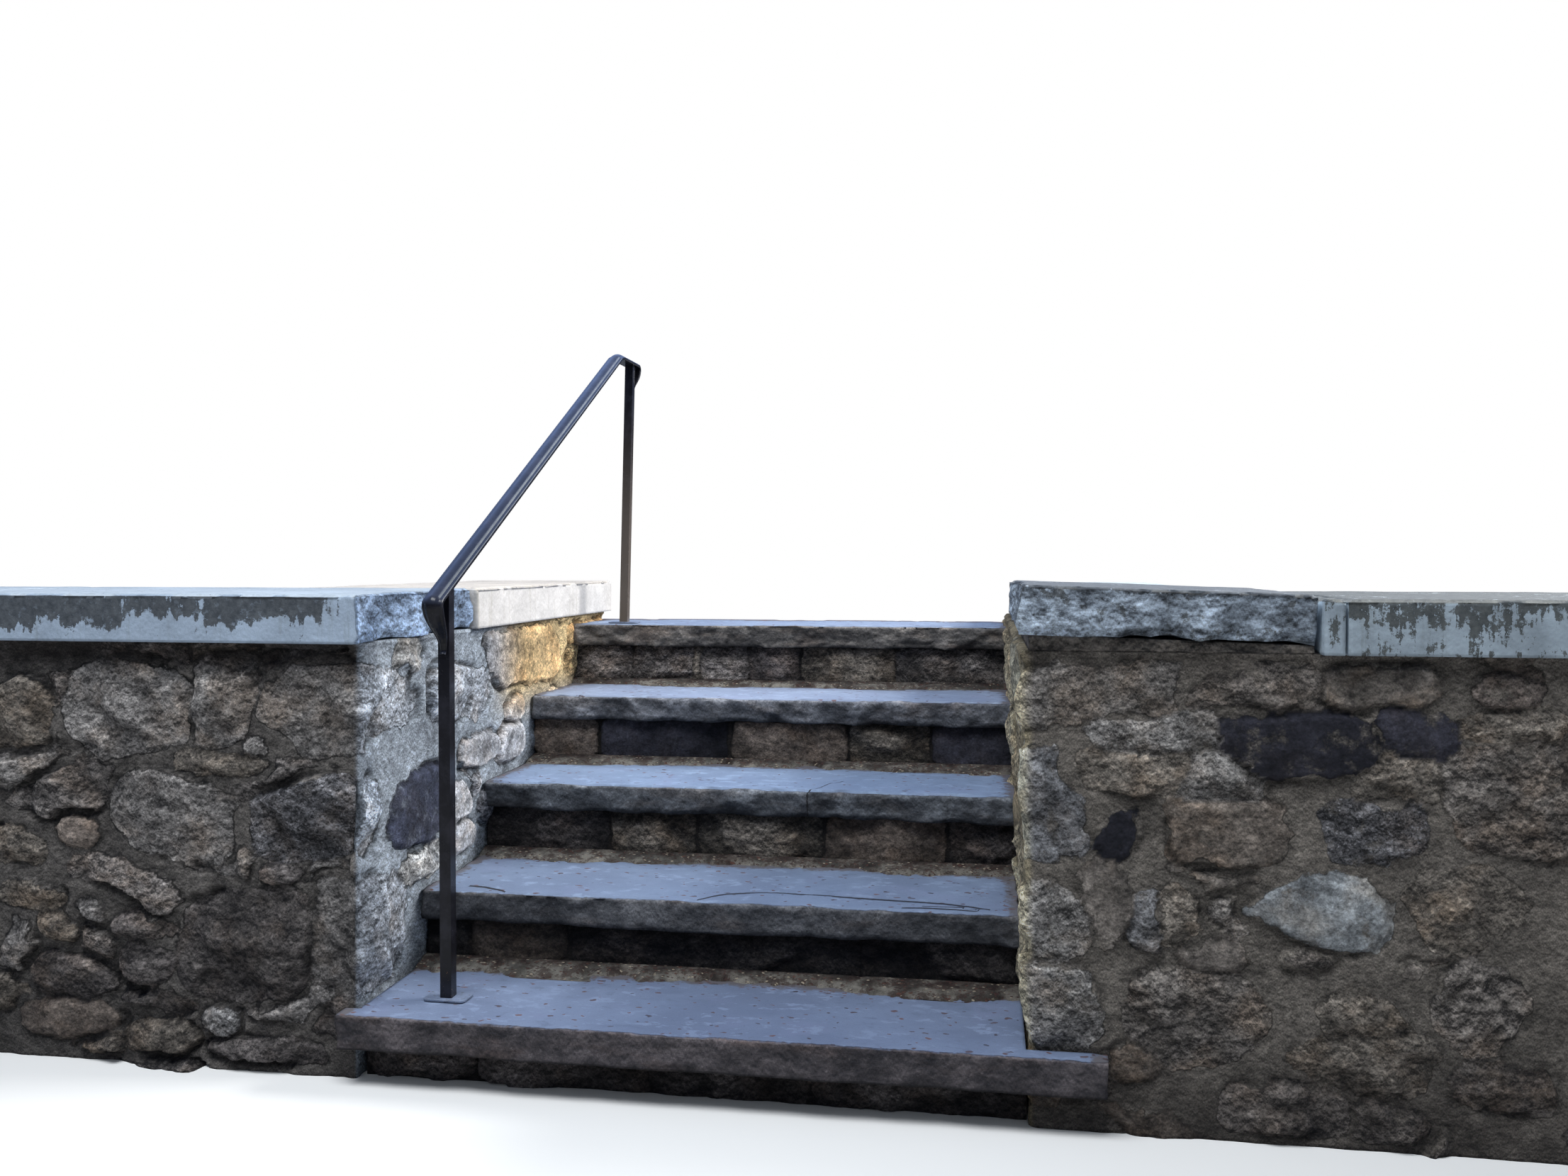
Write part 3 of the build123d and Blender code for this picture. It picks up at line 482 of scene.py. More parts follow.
def packed_stones(places, wide, tall, seed):
    """Close-fitting stones of unlike shapes: each place's stone, how far in it lies, and its middle."""
    size = np.array([wide, tall])
    scaled = places / size
    cell = np.floor(scaled).astype(np.int64)
    names, gaps, middles = [], [], []
    for row in range(-2, 3):
        for column in range(-2, 3):
            x, y = cell[:, 0] + column, cell[:, 1] + row
            middle = np.stack([x + 0.5 + 0.5 * (y % 2) + 0.75 * (chance(x, y, 0 * x, seed) - 0.5),
                               y + 0.5 + 0.65 * (chance(x, y, 0 * x + 1, seed) - 0.5)], 1)
            gap = ((scaled - middle) ** 2).sum(1)
            gap[chance(x, y, 0 * x + 2, seed) < 0.22] = 99.0
            names.append((x + 500) * 4096 + y + 500)
            gaps.append(gap)
            middles.append(middle)
    names, gaps, middles = np.array(names), np.array(gaps), np.array(middles)
    nearest = gaps.argmin(axis=0)
    every = np.arange(len(places))
    first_gap, first_middle = gaps[nearest, every], middles[nearest, every]
    inside = np.full(len(places), 9.0)
    for number in range(len(gaps)):
        other = number != nearest
        slant = np.linalg.norm((middles[number] - first_middle) / size, axis=1)
        edge = (gaps[number] - first_gap) / 2 / np.maximum(slant, 1e-9)
        inside = np.where(other, np.minimum(inside, edge), inside)
    return names[nearest, every], inside, first_middle * size


def coursed_stones(start, end, seed):
    """Squared stones in rough courses along a stretch of wall, in millimetres from the passage corner."""
    dice = np.random.default_rng(seed)
    rise, joint, cut = WALL_TOP / MM / COURSES["count"], COURSES["joint"], COURSES["corner"]
    stones = []
    for course in range(COURSES["count"]):
        foot = course * rise + joint / 2
        head = foot + rise - joint
        number = course * COURSES["skip"]
        left = start
        while left < end:
            right = min(left + COURSES["lengths"][number % len(COURSES["lengths"])], end)
            if right - left > 2 * cut + joint:
                x0, x1 = left + joint / 2, right - joint / 2
                nick = dice.uniform(-9, 9, (8, 2))
                outline = [(x0 + cut, foot), (x1 - cut, foot), (x1, foot + cut), (x1, head - cut),
                           (x1 - cut, head), (x0 + cut, head), (x0, head - cut), (x0, foot + cut)]
                kind = COURSE_KINDS[int(dice.integers(len(COURSE_KINDS)))]
                lightness, bed = dice.uniform(0.75, 1.1), dice.uniform(-25, 25)
                stones.append((kind, lightness, bed, (np.array(outline) + nick).tolist()))
            left = right
            number += 1
    return stones


def hidden_stones(side, seed):
    """The coursed stones of one wall's ends and backs, along the same line as the drawn ones."""
    thick, run = (LEFT_FRONT_HIGH.y - LEFT_FRONT_LOW.y) / MM, (LEFT_FRONT_HIGH.x - LEFT_FRONT_LOW.x) / MM
    deep, cheek = (LEFT_CHEEK_HIGH.y - LEFT_FRONT_LOW.y) / MM, (LEFT_CHEEK_HIGH.x - LEFT_CHEEK_LOW.x) / MM
    drawn_front, drawn_passage = DRAWN_REACH[side]
    back = deep + cheek + deep - thick
    stretches = ((-run - thick, -run), (-run, -drawn_front), (drawn_passage, deep), (deep, deep + cheek),
                 (deep + cheek, back), (back, back + run - cheek))
    stones = []
    for number, (start, end) in enumerate(stretches):
        stones += coursed_stones(start, end, seed * 10 + number)
    if side == "left":
        return stones
    whole = back + run - cheek + run + thick
    mirrored = []
    for kind, lightness, bed, outline in stones:
        shift = whole if min(x for x, _ in outline) > deep + cheek - 1 else 0
        mirrored.append((kind, lightness, -bed, [(shift - x, y) for x, y in reversed(outline)]))
    return mirrored


def place_drawn(shifted, stones, grow):
    """Which drawn stone each place is in and how far in, and a table of those stones.

    A row of the table has a stone's kind, lightness, slope of the bed, middle and half size.
    """
    inside = np.full(len(shifted), OUT_IN_MORTAR)
    owner = np.full(len(shifted), -1)
    table = []
    for kind_name, lightness, bed, outline in stones:
        edge = worn_outline(outline, kind_name in ROUNDED_KINDS)
        low, high = edge.min(0), edge.max(0)
        near = np.flatnonzero(((shifted > low - 0.05) & (shifted < high + 0.05)).all(axis=1))
        if not len(near):
            continue
        depth = depth_inside(shifted[near], edge) + grow
        deeper = depth > inside[near]
        inside[near[deeper]] = depth[deeper]
        owner[near[deeper]] = len(table)
        table.append((kind_name, lightness, bed, (low + high) / 2, (high - low) / 2))
    return inside, owner, table


def pack_between(places, shifted, bedding, seed, dice, inside, owner, table):
    """Packs small stones into the mortar that is left between the drawn ones."""
    fill_kinds = bedding.get("fill_kinds", ())
    for number, (first, last, wide, tall, there) in enumerate(bedding.get("fills", ())):
        within = np.flatnonzero((places[:, 0] >= first) & (places[:, 0] < last))
        if not len(within):
            continue
        names, depth, middles = packed_stones(shifted[within], wide, tall, seed + 50 + number)
        depth = np.minimum(depth - 0.006, -inside[within] - 0.013)
        known, index = np.unique(names, return_inverse=True)
        index = index.ravel()
        deepest = np.full(len(known), -1.0)
        np.maximum.at(deepest, index, depth)
        kept = (deepest > 0.014) & (dice.random(len(known)) < there)
        depth[~kept[index]] = OUT_IN_MORTAR
        deeper = depth > inside[within]
        inside[within[deeper]] = depth[deeper]
        owner[within[deeper]] = len(table) + index[deeper]
        sites = np.zeros((len(known), 2))
        sites[index] = middles
        half = np.array([wide, tall]) * 0.42
        for site in sites:
            kind_name = fill_kinds[int(dice.integers(len(fill_kinds)))]
            table.append((kind_name, dice.uniform(0.72, 1.1), dice.uniform(-25, 25), site, half))


def lay_stones(places, solid_points, stones, bedding, seed):
    """Heights and marks of stones laid in mortar, for places along and up a face.

    Each stone is a kind, a lightness, the slope of its bed and its outline.
    """
    wobble = np.stack([roughness(solid_points, 0.045, seed + 3, 4, 0.6),
                       roughness(solid_points, 0.045, seed + 4, 4, 0.6)], 1)
    shifted = places + wobble * 0.0055
    dice = np.random.default_rng(seed * 1000)
    inside, owner, table = place_drawn(shifted, stones, bedding["grow"])
    pack_between(places, shifted, bedding, seed, dice, inside, owner, table)
    names, lightness, beds, middle, half = zip(*table)
    middle, half, turn = np.array(middle), np.array(half), np.radians(beds)
    columns = zip(*(KINDS[name] for name in names))
    colour, speckle, bands, slope, swell, rough = (np.array(column) for column in columns)

    # Each stone has a flat middle and broken faces that fall away from it on all sides
    headings = dice.uniform(0, 6.3, (len(table), 1)) + np.arange(BROKEN_FACES) * 6.283 / BROKEN_FACES
    headings = headings + dice.uniform(-0.4, 0.4, headings.shape)
    toward = np.stack([np.cos(headings), np.sin(headings)], -1)
    reach = (np.abs(toward) * half[:, None]).sum(-1) * dice.uniform(0.05, 0.80, headings.shape)
    fall = slope[:, None] * dice.uniform(0.8, 5.0, headings.shape)
    tilt = slope[:, None] * dice.normal(0, 0.7, (len(table), 2))
    face_shade = dice.uniform(0.80, 1.15, (len(table), BROKEN_FACES + 1))
    spot = dice.uniform(-5, 5, (len(table), 3))
    lift = dice.uniform(-0.002, 0.004, len(table))

    who = np.maximum(owner, 0)
    local = places - middle[who]
    drop = fall[who] * ((local[:, None] * toward[who]).sum(-1) - reach[who])
    drop = drop + 0.0012 * wobble[:, :1]
    steepest = drop.argmax(axis=1)
    drop = drop.max(axis=1)
    face = np.where(drop > 0, steepest, BROKEN_FACES)
    speckle, bands, swell, rough = speckle[who], bands[who], swell[who], rough[who]

    # Its surface: bumps, crags, leaves along the bed and split ledges
    surface = roughness(solid_points, 0.055, seed + 9, 5, 0.55)
    crags = 1 - 2 * np.abs(roughness(solid_points, 0.080, seed + 31, 4, 0.5))
    along = (local * np.stack([np.cos(turn), np.sin(turn)], 1)[who]).sum(1)
    rise = (local * np.stack([-np.sin(turn), np.cos(turn)], 1)[who]).sum(1)
    spread = np.clip(1 - (local ** 2 / half[who] ** 2).sum(1) / 1.6, 0, 1)
    leaves = bands * rough * 0.6 * np.abs(np.mod(rise / 0.016 + 0.9 * surface, 2) - 1)
    bedded = np.stack([along * 0.5, rise * 1.3, solid_points[:, 2] * 0.3 + spot[who, 0]], 1)
    split = ledges(2.1 * roughness(bedded, 0.055, seed + 61, 4, 0.55))
    top = bedding["proud"] + lift[who] + (tilt[who] * local).sum(1) - np.maximum(drop, 0) + swell * spread
    top = top + rough * (0.55 * surface + 0.40 * crags + 0.85 * split) + leaves

    # The mortar, and the stone's edge that rolls down to it
    mortar = bedding["mortar"] + bedding["lumps"] * roughness(solid_points, 0.06, seed + 21, 4, 0.55)
    open_joint = ease(roughness(solid_points, 0.09, seed + 23, 3), 0.0, 0.5) * ease(inside, -0.014, -0.002)
    mortar = mortar - bedding.get("crevice", 0.0) * open_joint
    roll = bedding["roll"] * (0.6 + 0.9 * dice.random(len(table)))[who]
    rolled = ease(inside, 0.0, roll) ** 0.8
    height = np.where(inside > 0, mortar + (np.maximum(top, mortar + 0.001) - mortar) * rolled, mortar)

    colour = colour * np.array(lightness)[:, None] * bedding.get("dim", 1.0)
    dust_and_sunlight = np.array([DUST_SHARES.get(name, 1.0) for name in names])[:, None] * bedding["blend"]
    colour = colour + (np.array(bedding["mortar_colour"]) - colour) * dust_and_sunlight
    smear = bedding.get("smear", 0.0) * roughness(solid_points, 0.05, seed + 41, 4, 0.6)
    return dict(
        inside=inside + smear,
        height=height,
        tint=colour[who] * face_shade[who, face][:, None],
        marks=np.stack([speckle, bands, rough / 0.003], 1),
        grain=np.stack([along, rise, solid_points @ np.array([0.3, 0.3, 0.3])], 1) + spot[who],
    )


def stone_marks(laid, wear_and_shade, grime_and_shade, bed_tint):
    """What the fieldstone material reads from the mesh."""
    bed_tint = np.broadcast_to(bed_tint, laid["tint"].shape)
    return dict(tint=laid["tint"], grain=laid["grain"], marks=laid["marks"], inside=laid["inside"],
                wear_and_shade=wear_and_shade, grime_and_shade=grime_and_shade, bed_tint=bed_tint)


# Making meshes


def finish_piece(name, points, faces, material, marks, replaces):
    """Makes a smooth-shaded piece, with its marks for the material, in the place of its CAD nodes."""
    mesh = bpy.data.meshes.new(name)
    mesh.from_pydata(points.tolist(), [], faces)
    for label, values in marks.items():
        values = np.asarray(values, np.float32)
        if values.ndim == 1:
            mesh.attributes.new(label, "FLOAT", "POINT").data.foreach_set("value", values)
        else:
            mesh.attributes.new(label, "FLOAT_VECTOR", "POINT").data.foreach_set("vector", values.ravel())
    mesh.polygons.foreach_set("use_smooth", np.ones(len(mesh.polygons), bool))
    mesh.materials.append(material)
    mesh.validate()
    piece = bpy.data.objects.new(name, mesh)
    bpy.context.scene.collection.objects.link(piece)
    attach(piece, "root")
    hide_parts(*replaces)


def block_shell(xs, ys, zs, solid=None):
    """Points and faces of a block cut on a lattice. A mask leaves out some of its cells.

    The flat underside is one face.
    """
    shape = (len(xs) - 1, len(ys) - 1, len(zs) - 1)
    if solid is None:
        solid = np.ones(shape, bool)
    padded = np.pad(solid, 1)
    quads = []
    rows = (len(ys) * len(zs), len(zs), 1)
    for axis in range(3):
        for side in (0, 1):
            if axis == 2 and side == 0:
                continue
            neighbour = np.roll(padded, 1 if side == 0 else -1, axis=axis)[1:-1, 1:-1, 1:-1]
            cells = np.argwhere(solid & ~neighbour)
            if not len(cells):
                continue
            corner = cells.copy()
            corner[:, axis] += side
            one, two = [other for other in range(3) if other != axis]
            first = corner @ np.array(rows)
            ring = [first, first + rows[one], first + rows[one] + rows[two], first + rows[two]]
            outward = (side == 1) == (axis != 1)
            quads.append(np.stack(ring if outward else ring[::-1], 1))
    quads = np.concatenate(quads)
    used, quads = np.unique(quads, return_inverse=True)
    quads = quads.reshape(-1, 4)
    grid = np.stack(np.meshgrid(xs, ys, zs, indexing="ij"), -1).reshape(-1, 3)
    return grid[used], quads.tolist() + rim_faces(quads)


def rim_faces(quads):
    """One face over each open rim of a shell of quads."""
    edges = {}
    for quad in quads.tolist():
        for a, b in zip(quad, quad[1:] + quad[:1]):
            if (b, a) in edges:
                del edges[(b, a)]
            else:
                edges[(a, b)] = True
    follow = {b: a for a, b in edges}
    faces = []
    while follow:
        start = next(iter(follow))
        ring = [start]
        at = follow.pop(start)
        while at != start:
            ring.append(at)
            at = follow.pop(at)
        faces.append(ring)
    return faces


def spaced(start, end, step):
    """Evenly spaced places from start to end, about one step apart."""
    return np.linspace(start, end, max(2, int(round((end - start) / step)) + 1))


def graded(start, end, fine, coarse, fine_run):
    """Places that are close together for a first run, and then further apart."""
    middle = min(start + fine_run, end)
    near = spaced(start, middle, fine)
    if middle >= end:
        return near
    return np.concatenate([near, spaced(middle, end, coarse)[1:]])


# Materials


def start_material(name):
    """A node material, its tree and its shader."""
    made = bpy.data.materials.new(name)
    made.use_nodes = True
    return made, made.node_tree, made.node_tree.nodes["Principled BSDF"]


def set_inputs(tree, node, inputs):
    """Sets each input of a node to a plain value, or links it to the output of another node."""
    for label, value in inputs.items():
        if isinstance(value, bpy.types.NodeSocket):
            tree.links.new(value, node.inputs[label])
        else:
            node.inputs[label].default_value = value


def add_node(tree, kind, inputs=None, **settings):
    """Adds a shader node. Its inputs are plain values or the outputs of other nodes."""
    node = tree.nodes.new("ShaderNode" + kind)
    for label, value in settings.items():
        setattr(node, label, value)
    set_inputs(tree, node, inputs or {})
    return node


def attribute(tree, label, output="Fac"):
    """A mark that the mesh keeps for each of its points."""
    return add_node(tree, "Attribute", attribute_name=label).outputs[output]


def calculate(tree, operation, first, second=0.0, third=0.0):
    """A sum on plain numbers."""
    return add_node(tree, "Math", {0: first, 1: second, 2: third}, operation=operation).outputs[0]


def times(tree, first, second):
    return calculate(tree, "MULTIPLY", first, second)


def plus(tree, first, second):
    return calculate(tree, "ADD", first, second)


def linear(tree, value, slope, base):
    """A value times a slope, plus a base."""
    return calculate(tree, "MULTIPLY_ADD", value, slope, base)


def rest_of(tree, share):
    """What a share leaves of 1."""
    return calculate(tree, "SUBTRACT", 1.0, share)


def component(tree, vector, number):
    """The first, second or third number of a vector, counted from 0."""
    return add_node(tree, "SeparateXYZ", {0: vector}).outputs[number]


def facing_up(tree):
    """1 where the surface faces straight up, 0 where it is upright and -1 where it faces down."""
    return component(tree, add_node(tree, "NewGeometry").outputs["Normal"], 2)


def brighten(tree, colour, factor):
    """A colour times one number for all its channels."""
    return add_node(tree, "VectorMath", {0: colour, "Scale": factor}, operation="SCALE").outputs[0]


def remap(tree, value, low, high, to_low=0.0, to_high=1.0, way="SMOOTHSTEP"):
    """Turns the range from low to high into another one, and holds its ends beyond."""
    inputs = {"Value": value, "From Min": low, "From Max": high, "To Min": to_low, "To Max": to_high}
    return add_node(tree, "MapRange", inputs, interpolation_type=way).outputs[0]


def shade(tree, colour, value, low, high, dark, light):
    """A colour darkened where a value is low and lightened where it is high."""
    return brighten(tree, colour, remap(tree, value, low, high, dark, light, "LINEAR"))


def mix_colour(tree, share, first, second, how="MIX"):
    """The first colour with a share of the second mixed in, or with how="MULTIPLY" tinged by it."""
    node = add_node(tree, "Mix", data_type="RGBA", blend_type=how)
    set_inputs(tree, node, {0: share, 6: with_alpha(first), 7: with_alpha(second)})
    return node.outputs[2]


def with_alpha(colour):
    """A plain colour as an input takes it. The output of another node stays as it is."""
    return colour if isinstance(colour, bpy.types.NodeSocket) else (*colour, 1.0)


def toned(colour, factor):
    """A plain colour times a number, or times a number for each channel."""
    return tuple(np.multiply(colour, factor).tolist())


def noise(tree, vector, scale, detail, rough):
    """Cloudy values about 0.5."""
    inputs = {"Vector": vector, "Scale": scale, "Detail": detail, "Roughness": rough}
    return add_node(tree, "TexNoise", inputs).outputs["Fac"]


def painted_relief_light(tree, place, scale, detail, rough, lift):
    """Painted light and shade of bumps too fine for the mesh: above 0 where they face the sky, below 0 where
    they face down.
    """
    raised = add_node(tree, "VectorMath", {0: place, 1: (0.0, 0.0, lift)}, operation="ADD").outputs[0]
    here = noise(tree, place, scale, detail, rough)
    return calculate(tree, "SUBTRACT", here, noise(tree, raised, scale, detail, rough))


def object_place(tree):
    """Where a point of the surface lies in the object, in metres."""
    return add_node(tree, "TexCoord").outputs["Object"]


def stretched(tree, vector, scale):
    """A place scaled by a number for each axis, for a pattern that is drawn out."""
    return add_node(tree, "Mapping", {"Vector": vector, "Scale": scale}).outputs[0]


def bump(tree, height, distance, strength, under=None):
    """Relief in the shading, on top of the relief under it."""
    inputs = {"Height": height, "Distance": distance, "Strength": strength}
    if under is not None:
        inputs["Normal"] = under
    return add_node(tree, "Bump", inputs).outputs[0]


def littered(tree, place, colour, share, scale):
    """Small dry scraps, scattered where the share is above 0."""
    bend = add_node(tree, "TexNoise", {"Vector": place, "Scale": 60.0}).outputs["Color"]
    bent = add_node(tree, "VectorMath", {0: bend, 1: (0.016, 0.016, 0.016), 2: place},
                    operation="MULTIPLY_ADD").outputs[0]
    for number, turn in enumerate((0.5, 2.2)):
        inputs = {"Vector": bent, "Rotation": (0.0, 0.0, turn), "Location": (number * 3.7, 0, 0),
                  "Scale": (1.0, 1.7, 1.0)}
        laid = add_node(tree, "Mapping", inputs).outputs[0]
        cells = add_node(tree, "TexVoronoi", {"Vector": laid, "Scale": scale * (1 + 0.5 * number)})
        pick = add_node(tree, "SeparateXYZ", {0: cells.outputs["Color"]})
        there = calculate(tree, "LESS_THAN", pick.outputs[0], share)
        scrap = times(tree, remap(tree, cells.outputs["Distance"], 0.30, 0.22), there)
        tone = mix_colour(tree, pick.outputs[1], (0.030, 0.022, 0.024), (0.135, 0.062, 0.048))
        colour = mix_colour(tree, times(tree, scrap, 0.85), colour, tone)
    return colour


def fieldstone_material(name, mortar_slop, open_cracks=0.8):
    """Stones of many kinds in rough mortar. Each stone's tint and marks are kept in the mesh."""
    made, tree, shader = start_material(name)
    place = object_place(tree)
    tint = attribute(tree, "tint", "Color")
    grain = attribute(tree, "grain", "Vector")
    marks = add_node(tree, "SeparateXYZ", {0: attribute(tree, "marks", "Vector")})
    speckle, bands, rugged = marks.outputs[0], marks.outputs[1], marks.outputs[2]
    inside = attribute(tree, "inside")
    wear_and_shade = attribute(tree, "wear_and_shade")
    pits = noise(tree, place, 42, 10, 0.74)
    crumbs = noise(tree, place, 150, 8, 0.72)

    ragged = linear(tree, noise(tree, place, 75, 6, 0.7), 0.016, -0.008)
    edge = plus(tree, inside, ragged)
    in_stone = remap(tree, edge, -0.0020, 0.0020)

    lumps = noise(tree, grain, 12, 9, 0.66)
    stone = shade(tree, tint, lumps, 0.32, 0.70, 0.42, 1.75)
    warm = remap(tree, noise(tree, grain, 9, 4, 0.6), 0.45, 0.7, 0.0, 0.5)
    stone = mix_colour(tree, warm, stone, (1.22, 0.98, 0.76), "MULTIPLY")
    streaks = noise(tree, stretched(tree, grain, (9, 48, 20)), 1.0, 7, 0.66)
    pale_streak = times(tree, remap(tree, streaks, 0.56, 0.68), linear(tree, bands, 0.45, 0.18))
    stone = mix_colour(tree, pale_streak, stone, brighten(tree, tint, 2.3))
    dark_streak = times(tree, remap(tree, streaks, 0.44, 0.33), linear(tree, bands, 0.6, 0.12))
    stone = mix_colour(tree, dark_streak, stone, brighten(tree, tint, 0.22))
    grainy = plus(tree, times(tree, noise(tree, grain, 210, 2, 0.6), 0.5),
                  times(tree, noise(tree, grain, 70, 6, 0.7), 0.5))
    pale = times(tree, remap(tree, grainy, 0.53, 0.62), times(tree, speckle, 0.62))
    stone = mix_colour(tree, pale, stone, brighten(tree, tint, 2.1))
    black = times(tree, remap(tree, grainy, 0.47, 0.39), times(tree, speckle, 0.62))
    stone = mix_colour(tree, black, stone, brighten(tree, tint, 0.2))
    stone = shade(tree, stone, pits, 0.33, 0.53, 0.40, 1.10)
    stone = shade(tree, stone, crumbs, 0.32, 0.66, 0.50, 1.45)
    # Painted shade in recesses and painted light on ridges, from the mesh, with wear
    stone = shade(tree, stone, wear_and_shade, -1.0, 1.0, 0.42, 1.65)
    # Painted light and shade: fine bumps lighter where they face up and darker where they face down
    broad_painted_relief = times(tree, painted_relief_light(tree, place, 24, 7, 0.66, 0.008), 5.5)
    fine_painted_relief = times(tree, painted_relief_light(tree, place, 85, 5, 0.7, 0.003), 5.0)
    facing = times(tree, plus(tree, broad_painted_relief, fine_painted_relief), rugged)
    stone = shade(tree, stone, facing, -0.75, 1.0, 0.30, 2.1)

    bed = attribute(tree, "bed_tint", "Color")
    sand = noise(tree, place, 330, 3, 0.65)
    mortar = shade(tree, bed, noise(tree, place, 6.5, 6, 0.62), 0.33, 0.68, 0.62, 1.32)
    mortar = shade(tree, mortar, noise(tree, place, 48, 6, 0.68), 0.35, 0.68, 0.72, 1.30)
    mortar = shade(tree, mortar, sand, 0.36, 0.66, 0.72, 1.32)
    mortar = shade(tree, mortar, pits, 0.36, 0.48, 0.6, 1.0)
    # Painted shade in the mortar's recesses, and painted light and shade of its fine bumps
    mortar = shade(tree, mortar, wear_and_shade, -1.0, 0.6, 0.35, 1.15)
    mortar = shade(tree, mortar, fine_painted_relief, -0.6, 0.6, 0.55, 1.5)

    slops = times(tree, remap(tree, noise(tree, place, 19, 6, 0.68), 0.52, 0.70), mortar_slop)
    shown = times(tree, in_stone, rest_of(tree, slops))
    colour = mix_colour(tree, shown, mortar, stone)
    # Near-black lines along open joints: painted shadow in the gaps, with dirt
    gap = calculate(tree, "ABSOLUTE", plus(tree, edge, 0.0012))
    open_joint = remap(tree, noise(tree, place, 11, 4, 0.6), 0.44, 0.58)
    crack = times(tree, remap(tree, gap, 0.0030, 0.0008), times(tree, open_joint, open_cracks))
    colour = mix_colour(tree, times(tree, crack, 0.9), colour, (0.010, 0.009, 0.008))
    # Dirt and painted shade from the mesh darken the colour
    grime_and_shade = attribute(tree, "grime_and_shade")
    cover = times(tree, grime_and_shade, remap(tree, noise(tree, place, 14, 6, 0.65), 0.3, 0.65, 0.65, 1.15))
    colour = mix_colour(tree, cover, colour, (0.20, 0.18, 0.18), "MULTIPLY")

    relief = bump(tree, crumbs, 0.006, 0.8, bump(tree, pits, 0.018, 1.0))
    relief = bump(tree, times(tree, grainy, shown), 0.004, 0.7, relief)
    relief = bump(tree, times(tree, streaks, bands), 0.006, 0.6, relief)
    edges = calculate(tree, "SUBTRACT", shown, times(tree, crack, 1.5))
    relief = bump(tree, edges, 0.003, 0.7, relief)
    set_inputs(tree, shader, {"Base Color": colour, "Roughness": 0.9, "Specular IOR Level": 0.25,
                              "Normal": relief})
    return made


